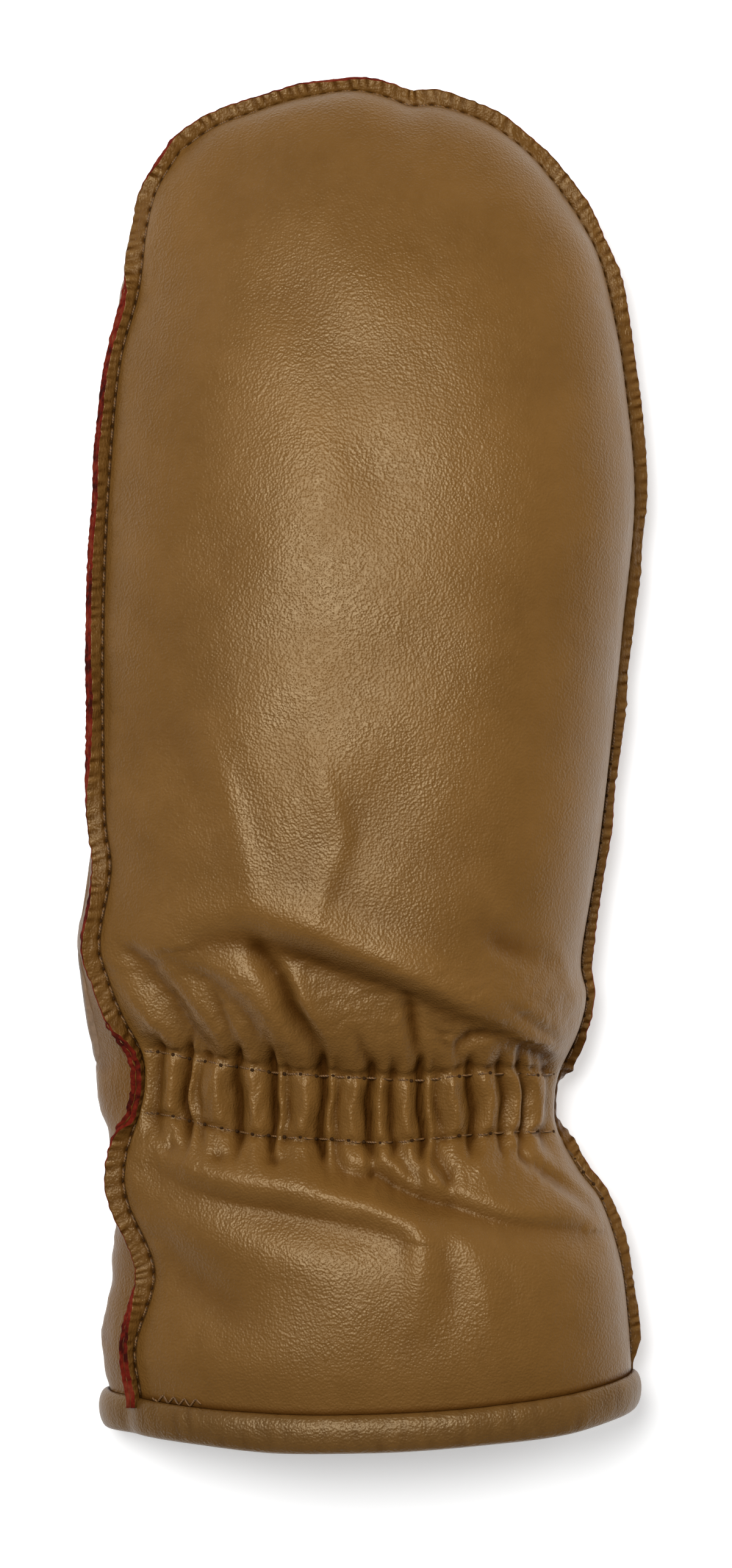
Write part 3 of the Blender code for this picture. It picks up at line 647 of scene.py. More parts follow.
def ramp(tree, value, stops):
    """Colours, or greys given as single numbers, at stops of a value."""
    node = tree.nodes.new("ShaderNodeValToRGB")
    elements = node.color_ramp.elements
    while len(elements) < len(stops):
        elements.new(0.5)
    for element, (position, colour) in zip(elements, stops):
        element.position = position
        element.color = (*colour, 1) if isinstance(colour, tuple) else (colour, colour, colour, 1)
    tree.links.new(value, node.inputs["Fac"])
    return node.outputs["Color"]


def multiplied(tree, a, b):
    node = tree.nodes.new("ShaderNodeMix")
    node.data_type = "RGBA"
    node.blend_type = "MULTIPLY"
    node.inputs["Factor"].default_value = 1
    tree.links.new(a, node.inputs["A"])
    tree.links.new(b, node.inputs["B"])
    return node.outputs["Result"]


def math_node(tree, operation, *inputs):
    """A math node's output. Its inputs are outputs of other nodes, or plain numbers."""
    node = tree.nodes.new("ShaderNodeMath")
    node.operation = operation
    for socket, value in zip(node.inputs, inputs):
        if isinstance(value, (int, float)):
            socket.default_value = value
        else:
            tree.links.new(value, socket)
    return node.outputs[0]


def summed(tree, terms):
    """A weighted sum of values."""
    total = 0
    for value, weight in terms:
        total = math_node(tree, "MULTIPLY_ADD", value, weight, total)
    return total


def new_material(name):
    material = bpy.data.materials.new(name)
    material.use_nodes = True
    tree = material.node_tree
    place = tree.nodes.new("ShaderNodeTexCoord").outputs["Object"]
    return material, tree, tree.nodes["Principled BSDF"], place


def add_bump(tree, shader, height, strength, distance):
    bump = add_node(tree, "ShaderNodeBump", Strength=strength, Distance=distance)
    tree.links.new(height, bump.inputs["Height"])
    tree.links.new(bump.outputs["Normal"], shader.inputs["Normal"])


def leather_material(name, colours):
    """Smooth tanned leather: uneven colour, pores and fine grain, with painted shade that darkens its
    creases, which are also less glossy, and a little painted light on its ridges.
    """
    material, tree, shader, place = new_material(name)
    broad, blotch = noise(tree, place, 26, 4, 0.55), noise(tree, place, 95)
    fine = noise(tree, place, 420, 4, 0.6)
    tone = summed(tree, [(broad, 0.55), (blotch, 0.25), (fine, 0.20)])
    colour = ramp(tree, tone, list(zip((0.30, 0.50, 0.70), colours)))
    relief_shade = math_node(tree, "MULTIPLY_ADD", attribute(tree, "relief_shade"), 0.5, 0.5)
    # Painted shade darkens the creases and painted light lightens the ridges a little.
    shaded = multiplied(tree, colour, ramp(tree, relief_shade, LEATHER_SHADE))
    tree.links.new(shaded, shader.inputs["Base Color"])
    tree.links.new(ramp(tree, relief_shade, LEATHER_GLOSS), shader.inputs["Specular IOR Level"])
    wear = summed(tree, [(blotch, 0.6), (fine, 0.4)])
    tree.links.new(ramp(tree, wear, LEATHER_ROUGHNESS), shader.inputs["Roughness"])
    set_inputs(shader, Specular_Tint=(1.0, 0.80, 0.50, 1))

    pores = add_node(tree, "ShaderNodeTexVoronoi", Scale=2200.0, Randomness=1.0)
    pores.feature = "SMOOTH_F1"
    tree.links.new(place, pores.inputs["Vector"])
    grain, lines = noise(tree, place, 1300, 5, 0.65), noise(tree, place, 240, 3, 0.6)
    stretch = add_node(tree, "ShaderNodeMapping", Scale=(1.0, 0.28, 0.6))
    tree.links.new(place, stretch.inputs["Vector"])
    wrinkles = noise(tree, stretch.outputs["Vector"], 620, 4, 0.6)
    crinkle = math_node(tree, "MULTIPLY", wrinkles, attribute(tree, "crinkle"))
    height = summed(tree, [(pores.outputs["Distance"], 1.3), (grain, 0.5), (lines, 0.4), (crinkle, 7.0)])
    add_bump(tree, shader, height, 0.60, 0.16 * MM)
    return material


def plain_material(name, noises, colours, bump=None, **shader_inputs):
    """A matt material, coloured by a sum of noises: scale, detail, roughness and weight of each."""
    material, tree, shader, place = new_material(name)
    tone = summed(tree, [(noise(tree, place, *kind), weight) for *kind, weight in noises])
    tree.links.new(ramp(tree, tone, colours), shader.inputs["Base Color"])
    set_inputs(shader, **shader_inputs)
    if bump:
        kind, strength, distance = bump
        add_bump(tree, shader, noise(tree, place, *kind), strength, distance)
    return material


def plain_materials():
    """The flesh side inside the mitten, the worn red paint on the raw edges, and the painted shade of needle
    holes.
    """
    suede = plain_material(
        "suede_inside",
        [(700, 5, 0.7, 0.7), (60, 3, 0.5, 0.3)],
        [(0.3, (0.16, 0.095, 0.05)), (0.7, (0.30, 0.19, 0.11))],
        bump=((2200, 4, 0.7), 0.5, 0.2 * MM),
        Roughness=0.95,
        Sheen_Weight=0.25,
    )
    paint = plain_material(
        "edge_paint",
        [(500, 4, 0.6, 0.6), (90, 2, 0.5, 0.4)],
        [(0.40, (0.040, 0.006, 0.004)), (0.52, (0.150, 0.014, 0.007)), (0.70, (0.230, 0.050, 0.022))],
        bump=((1500, 4, 0.6), 0.3, 0.1 * MM),
        Roughness=0.8,
        Specular_IOR_Level=0.02,
    )
    # Painted shade: near black, standing in for the shadow inside each needle hole.
    hole_shade = plain_material(
        "needle_hole_shade",
        [(2500, 2, 0.5, 1.0)],
        [(0.3, (0.030, 0.013, 0.004)), (0.7, (0.055, 0.025, 0.008))],
        Roughness=0.9,
        Specular_IOR_Level=0.1,
    )
    return suede, paint, hole_shade


def thread_material(name, colours):
    """Twisted sewing thread."""
    material, tree, shader, place = new_material(name)
    twist = add_node(tree, "ShaderNodeTexWave", Scale=900.0, Distortion=1.5, Detail=2.0)
    twist.bands_direction = "DIAGONAL"
    tree.links.new(place, twist.inputs["Vector"])
    colour = ramp(tree, twist.outputs["Fac"], list(zip((0.1, 0.8), colours)))
    tree.links.new(colour, shader.inputs["Base Color"])
    set_inputs(shader, Roughness=0.6)
    add_bump(tree, shader, twist.outputs["Fac"], 0.6, 0.08 * MM)
    return material


# Panels.

# The back's rows are measured along its crest, and the columns of both panels over their widest section.
CREST = -0.25
WIDEST_ROW = 13.0
BACK_COLUMN, PALM_COLUMN, PALM_ROW = 0.65 * MM, 1.1 * MM, 1.25 * MM
PLAIN_ROW, GATHER_ROW = 1.55 * MM, 0.60 * MM
GATHERS_START, GATHERS_END, GATHERS_BLEND = 0.075, 0.375, 0.03  # shares of the panel's length

# Depth at which the painted shade of a crease is full, and where the palm is creased beside the thumb.
BACK_DARK, PALM_DARK = 1.2 * MM, 1.0 * MM
THUMB_SIDE, THUMB_SIDE_BLEND = 32 * MM, 8 * MM

# Rows of the photograph with the most wrinkles on the hand, as shapes and as the leather's surface.
CRUMPLED_ROW, CRINKLED_ROW = 1640, 1660


def panel_rows(step):
    """Section rows of a panel's grid, a step apart along the crest of the back."""
    return even_places(lambda station: smooth_back(CREST + 0 * station, station), 0, LAST, step)


def panel_columns(surface, step):
    """Places across a panel, a step apart over its widest cross section."""
    return even_places(lambda across: surface(across, WIDEST_ROW + 0 * across), -1, 1, step)


def tucked(grid, downward):
    """A grid with one more row at its start, which goes down into the binding."""
    low = grid[:1].copy()
    if downward:
        low[..., 1] -= TUCK * BINDING_HEIGHT
    return np.concatenate([low, grid])


def row_step(station):
    """Distance between the rows of the back's grid, finer where the gathers are."""
    along = section("left_along", station)
    started = smooth_step((along - GATHERS_START) / GATHERS_BLEND)
    ended = smooth_step((GATHERS_END - along) / GATHERS_BLEND)
    return PLAIN_ROW + (GATHER_ROW - PLAIN_ROW) * started * ended


def back_faces(shift):
    """Outer and inner face of the back panel, with the painted shade that darkens its creases and the painted
    light on its ridges.
    """
    across, station = np.meshgrid(panel_columns(smooth_back, BACK_COLUMN), panel_rows(row_step))
    base = smooth_back(across, station) + shift
    normals = normals_of(base)
    px, py = pixel_of(base)
    from_seam = (1 - np.abs(across)) * HALF_WIDTH
    inside = smooth_step(from_seam / (2.2 * SEAM_MARGIN)) * np.clip(3 * tip_fall(station), 0, 1)
    beside = smooth_step(from_seam / SEAM_MARGIN)
    change = fold_change(px, py) * inside + gather_change(px, py) * beside
    change += small_creases(px, py) * (0.25 + 0.75 * inside) * beside
    puckers = ripples(base[..., 1] / MM, 0, 8.0, 4.2, spread=0.0, seed=8) * bell(from_seam, 3.2 * MM)
    change += 0.10 * MM * puckers * beside
    # Painted shade: the deeper a crease lies below its softened surroundings, the darker; ridges get half as
    # much painted light.
    relief_shade = (change - softened(change, 40)) / BACK_DARK
    relief_shade = np.where(relief_shade < 0, relief_shade, 0.5 * relief_shade)
    # Painted shade along the first rows, where the panel goes into the binding.
    relief_shade -= 1.2 * bell(base[..., 1] - base[0, :, 1], 0.7 * MM)
    inner = softened(lowest_nearby(change, 3), 3) - LEATHER
    outer = base + normals * change[..., None]
    inner = base + normals * inner[..., None]
    gathered = bell(py - band_middle(px), 62) * np.clip(0.35 - relief_shade, 0.15, 1)
    crinkle = np.clip(0.06 + gathered + 0.22 * bell(py - CRINKLED_ROW, 80), 0, 1)
    crinkle = np.maximum(crinkle, 0.55 * bell(from_seam, 3 * MM))
    shade_and_crinkle = np.stack([np.clip(relief_shade, -1, 1), crinkle], axis=-1)
    return tucked(outer, True), tucked(inner, True), tucked(shade_and_crinkle, False)


def palm_faces(shift):
    """Outer and inner face of the palm panel, creased beside the thumb, with the painted shade of its creases
    and of its side by the thumb.
    """
    across, station = np.meshgrid(panel_columns(smooth_palm, PALM_COLUMN)[::-1], panel_rows(PALM_ROW))
    pattern = smooth_palm(across, station)
    base = pattern + shift
    normals = normals_of(base)
    free = smooth_step((pattern[..., 2] - surface_height(pattern[..., 0], pattern[..., 1])) / (5 * MM))
    from_seam = (1 - np.abs(across)) * HALF_WIDTH
    beside = smooth_step(from_seam / SEAM_MARGIN)
    u, v, w = np.moveaxis(base, -1, 0) / MM
    change = 0.30 * MM * ripples(u, v, 34, 12, seed=11) + 0.06 * MM * ripples(u, v, 9, 4, seed=12)
    change *= free * beside
    thumb_side = smooth_step((-base[..., 0] - THUMB_SIDE) / THUMB_SIDE_BLEND)
    slanting = np.clip(ripples(u, v + 0.8 * w, 16, 5, angle=2.3, spread=1.4, seed=13), 0, 1.2)
    creases = thumb_side * slanting * smooth_step(from_seam / (0.6 * SEAM_MARGIN))
    change -= 0.40 * MM * creases * np.maximum(free, 0.5)
    # Painted shade in the creases, and painted shade over the whole side beside the thumb.
    relief_shade = (change - softened(change, 6)) / PALM_DARK - 0.3 * thumb_side
    outer = base + normals * change[..., None]
    inner = base + normals * (softened(change, 6) - LEATHER)[..., None]
    shade_and_crinkle = np.stack([np.clip(relief_shade, -1, 1), 0.15 + 0.25 * thumb_side], axis=-1)
    return tucked(outer, True), tucked(inner, True), tucked(shade_and_crinkle, False)


# Raw edges. A profile runs round the section of one layer: place outward from the stitches and height above
# the middle of the seam, in millimetres. Its cut edge, the part beyond PAINT_START, is painted.
MARGIN_PROFILE = (
    (-1.8, 1.57), (-0.9, 1.57), (-0.4, 1.42), (-0.1, 1.30), (0.1, 1.16), (0.35, 1.28), (0.8, 1.30),
    (1.3, 1.24), (1.8, 1.20), (2.3, 1.18), (2.8, 1.16), (3.05, 1.12), (3.20, 0.85), (3.20, 0.45),
    (3.08, 0.12), (2.4, 0.015), (1.2, 0.015), (-1.8, 0.015),
)
PAINT_START = 3.0
STITCH_PITCH = 3.2 * MM
EDGE_STEP = 0.42 * MM
MARGIN_CRINKLE = 0.8

# How far the raw edges turn up from the plane of the seam, in degrees, or down where it is negative: by the
# row of the photograph on the left and on the right, and by its column round the tip.
LEFT_TURN = (
    (2330, 42), (2270, 40), (2200, 30), (2150, 10), (2110, -16), (2000, -20), (1900, -16), (1865, 0),
    (1845, 44), (1800, 58), (1740, 56), (1700, 40), (1670, 2), (1600, -16), (1545, -6), (1490, 0),
    (1440, -16), (1340, -18), (1260, 10), (1000, 18), (760, 26), (600, 30), (480, 26), (440, -16),
    (340, -16), (310, 14), (200, 28), (130, 28), (100, 26),
)
TIP_TURN = (
    (200, 26), (300, 16), (480, 22), (600, 26), (640, 14), (665, -6), (700, 0), (900, 4), (1000, 0),
)
RIGHT_TURN = (
    (2400, 16), (2000, 18), (1890, 12), (1860, -30), (1765, -34), (1745, 10), (1715, 34), (1600, 40),
    (1300, 36), (1150, 20), (900, 4), (200, 0),
)

# How ragged the cut edges are, in millimetres, by the row of the photograph.
EVEN_EDGE, TORN_EDGE = 0.045, 0.15
RAGGED = (
    (2400, 0.05), (2000, 0.05), (1900, 0.05), (1850, TORN_EDGE), (1700, TORN_EDGE), (1650, 0.05),
    (1550, EVEN_EDGE), (100, EVEN_EDGE),
)


def rim_turn(u, points):
    """How far the raw edges turn up at each place of the rim, in radians."""
    px, py = pixel_of(points)
    past_left, past_tip = smooth_step((u - 0.97) / 0.06), smooth_step((u - 2.0) / 0.1)
    left = table_value(LEFT_TURN, py) * (1 - past_left)
    tip = table_value(TIP_TURN, px) * past_left * (1 - past_tip)
    return np.radians(left + tip + table_value(RIGHT_TURN, py) * past_tip)


def margin_section(u, points, layer):
    """Out and height, in millimetres, of every profile point at every place of the rim, and its painted
    shade.
    """
    out, height = np.array(MARGIN_PROFILE).T
    run = np.concatenate([[0], np.cumsum(np.linalg.norm(np.diff(points, axis=0), axis=-1))])
    phase = 2 * math.pi * run / STITCH_PITCH
    outer_face = height > 0.5
    if layer < 0:  # the palm falls away faster inside the seam
        height = height + 0.95 * outer_face * smooth_step((-out - 0.1) / 0.7)
    near_stitch = bell(out - 0.1, 0.45)
    dimple = -0.22 * (1 + np.cos(phase))[:, None] / 2 * near_stitch
    toward_edge = smooth_step(out * MM / SEAM_MARGIN)
    pucker = 0.06 * np.sin(phase)[:, None] * bell(out - 0.9, 0.9)
    mm = run / MM
    fine = ripples(mm[:, None] + 0.25 * out, 0, 2.8, 1.0, spread=1.3, waves=36, seed=21 + layer)
    cross = 0.06 * fine * (0.35 + 0.65 * toward_edge)
    heights = height + (dimple + pucker + cross) * outer_face
    wave = 0.10 * ripples(mm, 0, 40, 12, spread=0.0, seed=31)
    torn = np.clip(table_value(RAGGED, pixel_of(points)[1]), EVEN_EDGE, TORN_EDGE)
    ragged = 1.3 * torn * ripples(mm, 0, 6, 1.6, spread=0.0, waves=36, seed=33 + layer)
    outs = out + (wave + ragged + 0.12 * layer)[:, None] * toward_edge
    # Painted shade in the needle holes and along the groove of the stitches.
    holes = 0.75 * near_stitch * (0.45 + 0.55 * np.cos(phase))[:, None]
    # Painted shade over the raw edge's outer face, more where it is torn, and painted light and shade along
    # its fine wrinkles.
    shade = 0.36 + 3.5 * (torn[:, None] - EVEN_EDGE)
    relief_shade = (0.35 * fine * toward_edge - holes - shade) * outer_face
    return outs, heights, np.clip(relief_shade, -1, 1), run


def turned(outs, heights, angle, lift):
    """Bends a margin's section up about the line of stitches, by an angle that grows over its first part."""
    share = smooth_step(outs / 1.6)
    local = angle[:, None] * share
    base = 0.45 * outs
    x = np.where(outs > 0, base * np.cos(local * 0.5) + (outs - base) * np.cos(local), outs)
    z = np.where(outs > 0, base * np.sin(local * 0.5) + (outs - base) * np.sin(local), 0)
    return x - heights * np.sin(local), z + heights * np.cos(local) + lift


def new_margin(name, layer, shift, materials):
    """One layer's raw edge round the rim: layer 1 belongs to the back panel and -1 to the palm."""
    u = even_places(rim_curve, 0, 3, EDGE_STEP)
    points, _, outward, normal = rim_frame(u)
    points = points + shift
    outs, heights, relief_shade, run = margin_section(u, points, layer)
    narrow = 1 - 0.62 * (1 - smooth_step((run[-1] - run) / (6 * MM)))
    outs = np.where(outs > 0, outs * narrow[:, None], outs)
    lift = 0.22 * ripples(run / MM, 0, 46, 15, spread=0.0, seed=41)[:, None] * smooth_step(outs / 3)
    x, z = turned(outs, layer * heights, rim_turn(u, points), lift)
    rings = points[:, None] + outward[:, None] * (x * MM)[..., None] + normal[:, None] * (z * MM)[..., None]
    rings[..., 2] = np.maximum(rings[..., 2], 0.2 * MM)
    into_binding = np.array([0, -1.6 * MM, 0])
    rings = np.concatenate([rings[:1] + into_binding, rings, rings[-1:] + into_binding])
    relief_shade = np.pad(relief_shade, ((1, 1), (0, 0)), mode="edge")
    places, faces = loft(rings, closed=False)
    starts, ends = MARGIN_PROFILE, MARGIN_PROFILE[1:] + MARGIN_PROFILE[:1]
    painted = [int(min(start[0], end[0]) > PAINT_START) for start, end in zip(starts, ends)]
    indices = np.concatenate([np.tile(painted, len(rings) - 1), [1, 1]])
    return new_solid(name, places, faces, materials, indices, relief_shade, 0 * relief_shade + MARGIN_CRINKLE)


# Thread.

# Radius, how far a stitch bows up, and how deep its ends sink.
SIDE_THREAD = (0.24 * MM, 0.20 * MM, 0.02 * MM)
THUMB_THREAD = (0.22 * MM, 0.18 * MM, 0.12 * MM)
HEM_THREAD = (0.20 * MM, 0.12 * MM, 0.0)
NEEDLE_HOLE = (0.34 * MM, 0.0, 0.16 * MM)

# The side stitches: their half length as a share of the pitch, and how far out they lie, in millimetres, on
# the flat seam and beyond that where the right seam is turned up.
HALF_STITCH = 0.36
STITCH_OUT, STITCH_OUT_TURNED = 0.12, 1.25

# The loose end of thread on the binding, in pixels: its start, end and step, and the rows it runs between.
ZIGZAG = (250.0, 333.0, 9.0)
ZIGZAG_ROWS = (2291.0, 2303.0)


def new_stitches(name, starts, ends, normals, material, radius, arch, sink, turns=7):
    """One small bowed capsule of thread for each pair of points."""
    t = np.linspace(0, 1, turns)[None, :, None]
    line = starts[:, None] * (1 - t) + ends[:, None] * t
    lift = arch * (1 - (2 * t - 1) ** 2) - sink
    line = line + normals[:, None] * lift
    run = unit(ends - starts)
    side = unit(np.cross(run, normals))
    up = np.cross(side, run)
    thin = radius * np.sqrt(np.clip(1 - 0.96 * (2 * t - 1) ** 4, 0, 1))
    around = 8
    angle = np.linspace(0, 2 * math.pi, around, endpoint=False)
    circle = side[:, None, :] * np.cos(angle)[:, None] + up[:, None, :] * np.sin(angle)[:, None]
    rings = line[:, :, None] + circle[:, None] * thin[:, :, None]
    count = turns * around
    places, faces = [], []
    for k, ring in enumerate(rings):
        points, quads = loft(ring, closed=False)
        places.append(points)
        faces += [[corner + k * count for corner in face] for face in quads]
    return new_solid(name, np.concatenate(places), faces, [material])


def new_hole_shade(name, starts, ends, normals, material):
    """A small dimple just beyond each stitch, where the needle went in, coloured near black as the painted
    shade of its hole.
    """
    run = unit(ends - starts)
    first, last = ends + run * 0.08 * MM, ends + run * 0.86 * MM
    return new_stitches(name, first, last, normals, material, *NEEDLE_HOLE, turns=5)


def side_stitches(shift, material, hole_shade):
    """Stitches along the whole rim, on both faces of the seam."""
    step = 0.1 * MM
    per_stitch = STITCH_PITCH / step
    fine = even_places(rim_curve, 0, 3, step)
    points, _, outward, normal = rim_frame(fine)
    points = points + shift
    middles = (np.arange(int((len(fine) - 1) / per_stitch)) + 0.5) * per_stitch
    half = HALF_STITCH * per_stitch
    starts, ends = np.round(middles - half).astype(int), np.round(middles + half).astype(int)
    middle = np.round(middles).astype(int)
    rows = []
    turn = rim_turn(fine, points)
    turned_up = smooth_step((fine - 2.05) / 0.05) * smooth_step((turn - 0.2) / 0.3)
    for layer in (1, -1):
        beyond = max(layer, 0) * STITCH_OUT_TURNED * turned_up
        out, height = STITCH_OUT + beyond, layer * (1.02 + 0.16 * beyond)
        x, z = turned(out[:, None], height[:, None], turn, 0.0)
        place = points + outward * x * MM + normal * z * MM
        lean = (turn * turned_up)[:, None]
        facing = normal * np.cos(lean) - outward * np.sin(lean)
        rows.append((place[starts], place[ends], facing[middle] * layer))
    starts, ends, normals = (np.concatenate(parts) for parts in zip(*rows))
    threads = new_stitches("side_stitches", starts, ends, normals, material, *SIDE_THREAD)
    return threads, new_hole_shade("side_needle_hole_shade", starts, ends, normals, hole_shade)


def touch(surface, normals, px, py):
    """The points of a surface that the camera sees at pixels, with their normals."""
    seen_x, seen_y = (seen.ravel() for seen in pixel_of(surface))
    flat, flat_normals = surface.reshape(-1, 3), normals.reshape(-1, 3)
    places, directions = [], []
    for x, y in zip(px, py):
        distance = (seen_x - x) ** 2 + (seen_y - y) ** 2
        near = np.argpartition(distance, 4)[:4]
        weight = 1 / (distance[near] + 0.5)
        weight /= weight.sum()
        places.append(weight @ flat[near])
        directions.append(weight @ flat_normals[near])
    return np.array(places), unit(np.array(directions))


def elastic_stitches(outer, material, hole_shade):
    """The two rows of stitches over the elastic, bowed over the puffs between their needle holes."""
    normals = normals_of(outer)
    starts, ends = [], []
    for row in (UPPER_ROW, LOWER_ROW):
        for x in np.arange(row[0][0] + FIRST_STITCH, row[-1][0] - ELASTIC_STITCH, ELASTIC_PITCH):
            starts.append((x, table_value(row, x)))
            ends.append((x + ELASTIC_STITCH, table_value(row, x + ELASTIC_STITCH)))
    starts, ends = np.array(starts), np.array(ends)
    first, first_normal = touch(outer, normals, *starts.T)
    last, last_normal = touch(outer, normals, *ends.T)
    centre, _ = touch(outer, normals, *(starts + ends).T / 2)
    up = unit(first_normal + last_normal)
    bow = np.clip(((centre - (first + last) / 2) * up).sum(axis=-1), 0.05 * MM, 0.6 * MM) + 0.12 * MM
    bow = bow[:, None, None]
    threads = new_stitches("elastic_stitches", first, last, up, material, 0.22 * MM, bow, 0.05 * MM)
    return threads, new_hole_shade("elastic_needle_hole_shade", first, last, last_normal, hole_shade)


def zigzag_stitches(outer, material):
    """The end of the hem's sewing, left as a short zigzag of thread on the top of the binding."""
    px = np.arange(*ZIGZAG)
    py = np.where(np.arange(len(px)) % 2 == 0, *ZIGZAG_ROWS)
    points, normals = touch(outer, normals_of(outer), px, py)
    points = points + normals * 0.25 * MM
    up = unit(normals[:-1] + normals[1:])
    return new_stitches("hem_thread_end", points[:-1], points[1:], up, material, *HEM_THREAD)


# Thumb.


def thumb_grid():
    """The thumb's surface: rings of points from its base to its tip."""
    polar = np.linspace(0, math.pi, THUMB_RINGS)[:, None]
    angle = np.linspace(0, 2 * math.pi, THUMB_AROUND, endpoint=False)[None, :]
    ring = np.maximum(np.sin(polar), 0.02)
    z = -np.cos(polar)
    full = ring**THUMB_ROUNDING
    along = THUMB_LENGTH * (1 + np.sign(z) * np.abs(z) ** THUMB_ROUNDING) / 2
    places = range(len(THUMB_WIDTHS))
    width = smooth_table(places, THUMB_WIDTHS, places[-1] * along / THUMB_LENGTH) * THUMB_WIDTH
    aside = width / 2 * full * np.cos(angle)
    height = THUMB_THICKNESS / 2 * (1 + np.clip(THUMB_FLATNESS * full * np.sin(angle), -1, 1))
    x = THUMB_BASE[0] * HALF_WIDTH - along * math.sin(THUMB_LEAN) + aside * math.cos(THUMB_LEAN)
    y = THUMB_BASE[1] * PANEL_LENGTH + along * math.cos(THUMB_LEAN) + aside * math.sin(THUMB_LEAN)
    return np.stack([x, y, height], axis=-1)


def thumb_seam_distance(points):
    """How far points are beyond the seam that joins the thumb to the palm, along the thumb."""
    along, across = thumb_axes(points[..., 0], points[..., 1])
    return along - THUMB_SEAM + 0.10 * across


def thumb_stitches(shift, material, hole_shade):
    """Stitches round the thumb's base, one ring of small steps."""
    outer = thumb_grid() + shift
    from_seam = thumb_seam_distance(outer)
    places = []
    for column in range(outer.shape[1]):
        distance = from_seam[:, column]
        first = np.argmax(distance > 0)
        share = -distance[first - 1] / (distance[first] - distance[first - 1])
        places.append(outer[first - 1, column] * (1 - share) + outer[first, column] * share)
    curve = along_corners(np.array(places + places[:1]))
    ring = curve(even_places(curve, 0, len(places), STITCH_PITCH / 3))
    centre = ring.mean(axis=0)
    starts, ends = ring[:-2:3], ring[2::3]
    count = min(len(starts), len(ends))
    starts, ends = starts[:count], ends[:count]
    normals = unit((starts + ends) / 2 - centre)
    threads = new_stitches("thumb_stitches", starts, ends, normals, material, *THUMB_THREAD)
    return threads, new_hole_shade("thumb_needle_hole_shade", starts, ends, normals, hole_shade)


def new_thumb(shift, material):
    """The thumb, creased along its edges, with a welt where it is sewn to the palm, and painted shade in its
    creases and beside the welt.
    """
    outer = thumb_grid() + shift
    u, v = outer[..., 0] / MM, outer[..., 1] / MM
    side = bell(outer[..., 2] - THUMB_THICKNESS / 2, THUMB_THICKNESS / 3)
    run = unit(np.roll(outer, -1, axis=1) - np.roll(outer, 1, axis=1))
    ahead = unit(np.gradient(outer, axis=0))
    normals = unit(np.cross(run, ahead))
    change = (0.22 * MM * ripples(u, v, 26, 9, seed=51) + 0.05 * MM * ripples(u, v, 7, 3, seed=52)) * side
    from_seam = thumb_seam_distance(outer)
    welt = 0.45 * MM * bell(from_seam - 0.9 * MM, 1.0 * MM) - 0.25 * MM * bell(from_seam + 0.5 * MM, 0.6 * MM)
    points = outer + normals * (np.abs(change) + welt)[..., None]
    points[..., 2] = np.maximum(points[..., 2], 0)
    places, faces = loft(points, closed=False)
    # Painted shade in the creases and in the groove beside the welt.
    relief_shade = -np.abs(change) / (0.8 * MM) - 0.9 * bell(from_seam + 0.4 * MM, 0.7 * MM)
    return new_solid("thumb_stall", places, faces, [material], None, relief_shade)


# Cuff binding: how far out beyond the panel, in millimetres, and how high, as a share of its height.
BINDING_OUTSIDE = (
    (0.05, 1.00), (0.80, 0.985), (1.45, 0.90), (1.90, 0.74), (2.05, 0.55),
    (1.90, 0.34), (1.45, 0.16), (0.75, 0.05), (-0.70, 0.00),
)
BINDING_STEP = 0.7 * MM


def binding_path(outer_back, outer_palm):
    """A closed path round the edge of the cuff, with the direction that points out of it."""
    path = np.concatenate([outer_back[1], outer_palm[1]])
    curve = along_corners(np.concatenate([path, path[:1]]))
    path = curve(even_places(curve, 0, len(path), BINDING_STEP)[:-1])
    for _ in range(3):
        path = (np.roll(path, 1, axis=0) + 2 * path + np.roll(path, -1, axis=0)) / 4
    run = np.roll(path, -3, axis=0) - np.roll(path, 3, axis=0)
    outward = np.stack([-run[:, 2], np.zeros(len(path)), run[:, 0]], axis=-1)
    return path, unit(outward)


def new_binding(outer_back, outer_palm, material):
    """The strip round the cuff: its outside, its inside, and its two edges that meet the panels."""
    path, outward = binding_path(outer_back, outer_palm)
    out, height = np.array(BINDING_OUTSIDE).T
    places = np.arange(len(out))
    wanted = np.linspace(0, len(out) - 1, 25)
    out, height = smooth_table(places, out, wanted), smooth_table(places, height, wanted)
    inner_out = -LEATHER / MM - out[::-1][1:] * 0.9
    profile_out = np.concatenate([out, inner_out, [-LEATHER / MM, -0.1]])
    profile_height = np.concatenate([height, height[::-1][1:], [0.25, 0.25]])
    x, z = path[:, 0] / MM, path[:, 2] / MM
    waves = ripples(x, z, 30, 8, seed=61)
    fine = ripples(x[:, None], 3 * profile_height + z[:, None], 5, 2, seed=62)
    swell = 1 + 0.035 * waves[:, None] + 0.008 * fine
    middle = -0.5 * LEATHER / MM
    outs = middle + (profile_out - middle) * np.where(profile_height > 0.02, swell, 1)
    sag = 0.12 * ripples(x, z, 60, 20, seed=63)[:, None] * (1 - profile_height)
    rings = path[:, None] + outward[:, None] * (outs * MM)[..., None]
    rings[..., 1] -= (1 - profile_height) * BINDING_HEIGHT + sag * MM
    rings[..., 2] = np.maximum(rings[..., 2], 0)
    places, faces = loft(rings, closed=True)
    # Painted shade in the crease along the binding's top, and light and shade painted over its fine wrinkles.
    crease = bell(profile_out - 0.1, 0.45) * (profile_height > 0.9)
    return new_solid("cuff_binding", places, faces, [material], None, 0.10 * fine - 1.1 * crease)


# Stage.

# Lights: name, place, size and power, and whether it leaves a highlight.
LIGHTS = (
    ("key_light", (-0.17, 0.20, 0.92), 0.36, 6.9, True),
    ("left_light", (-0.62, 0.50, 0.50), 0.5, 0.7, False),
    ("right_light", (0.65, 0.25, 0.42), 0.5, 1.7, False),
)
SENSOR_HEIGHT = 24


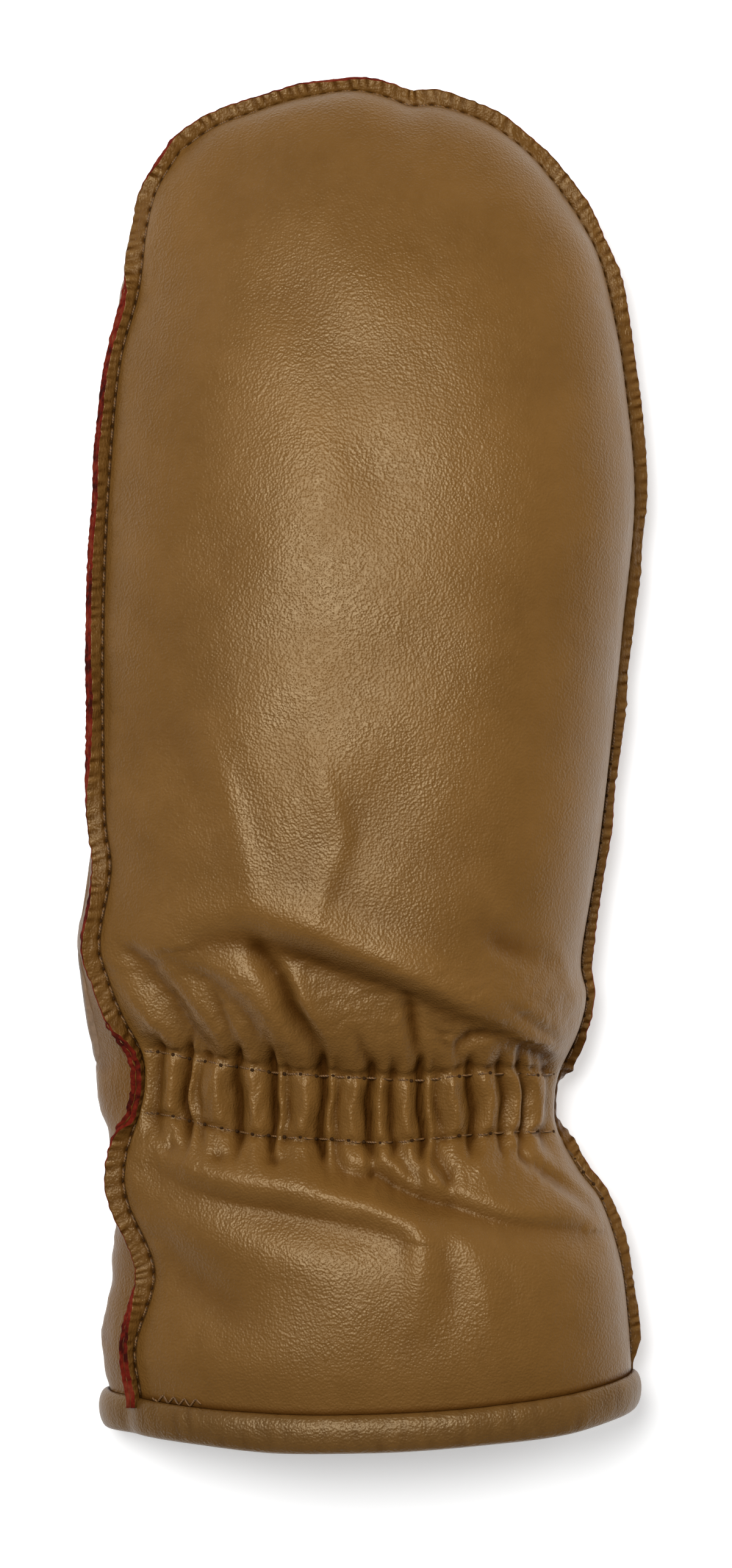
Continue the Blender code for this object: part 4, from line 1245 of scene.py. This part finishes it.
def new_floor():
    material, _, shader, _ = new_material("studio_floor")
    set_inputs(shader, Base_Color=(0.92, 0.92, 0.92, 1), Roughness=0.9)
    set_inputs(shader, Emission_Color=(1, 1, 1, 1), Emission_Strength=0.42)
    size, z = 4.0, -0.3 * MM
    corners = np.array([(-size, -size, z), (size, -size, z), (size, size, z), (-size, size, z)])
    new_object("studio_floor", corners, [(0, 1, 2, 3)], [material])


def new_light(name, place, size, power, glossy):
    """A round area light that points at the mitten."""
    data = bpy.data.lights.new(name, "AREA")
    data.shape = "DISK"
    data.size = size
    data.energy = power
    light = bpy.data.objects.new(name, data)
    light.location = place
    light.visible_glossy = glossy
    x, y, z = place
    light.rotation_euler = (math.atan2(math.hypot(x, y), z), 0, math.atan2(-y, -x) - math.pi / 2)
    bpy.context.scene.collection.objects.link(light)


def new_world():
    world = bpy.data.worlds.new("pale_room")
    world.use_nodes = True
    set_inputs(world.node_tree.nodes["Background"], Color=(1, 1, 1, 1), Strength=0.15)
    bpy.context.scene.world = world


def new_camera():
    """The photograph's camera, straight above the mitten."""
    data = bpy.data.cameras.new("camera")
    data.sensor_fit = "VERTICAL"
    data.sensor_height = SENSOR_HEIGHT
    data.lens = SENSOR_HEIGHT * CAMERA_DISTANCE / (PHOTO_HEIGHT / PIXELS_PER_METRE)
    camera = bpy.data.objects.new("camera", data)
    camera.location = (CAMERA_X, CAMERA_Y, SEAM_PLANE + CAMERA_DISTANCE)
    bpy.context.scene.collection.objects.link(camera)
    bpy.context.scene.camera = camera


def main():
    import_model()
    new_camera()
    new_floor()
    for light in LIGHTS:
        new_light(*light)
    new_world()
    bpy.context.scene.view_settings.view_transform = "Standard"

    tan, trim = leather_material("tan_leather", TAN), leather_material("binding_leather", TRIM)
    thread = thread_material("tan_thread", THREAD)
    suede, paint, hole_shade = plain_materials()

    shift = frame_shift()
    back_outer, back_inner, back_shade_and_crinkle = back_faces(shift)
    palm_outer, palm_inner, palm_shade_and_crinkle = palm_faces(shift)
    back = new_shell("back_leather", back_outer, back_inner, *np.moveaxis(back_shade_and_crinkle, -1, 0), [tan, suede])
    palm = new_shell("palm_leather", palm_outer, palm_inner, *np.moveaxis(palm_shade_and_crinkle, -1, 0), [tan, suede])
    thumb = new_thumb(shift, tan)
    binding = new_binding(back_outer, palm_outer, trim)
    back_edge = new_margin("back_raw_edge", 1, shift, [tan, paint])
    palm_edge = new_margin("palm_raw_edge", -1, shift, [tan, paint])
    seams, seam_hole_shade = side_stitches(shift, thread, hole_shade)
    elastic, elastic_hole_shade = elastic_stitches(back_outer[1:], thread, hole_shade)
    hem_end = zigzag_stitches(back_outer[1:], thread)
    thumb_seam, thumb_hole_shade = thumb_stitches(shift, thread, hole_shade)

    slots = {
        "hand_leather": (back, palm, thumb, back_edge, palm_edge, thumb_hole_shade, seam_hole_shade, elastic_hole_shade),
        "binding_leather": (binding,),
        "thread": (seams, elastic, hem_end, thumb_seam),
    }
    for slot, pieces in slots.items():
        for piece in pieces:
            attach(piece, "root")
    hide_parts("back_panel")
    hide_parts("palm_panel")
    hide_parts("thumb")
    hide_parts("hem_binding")


main()
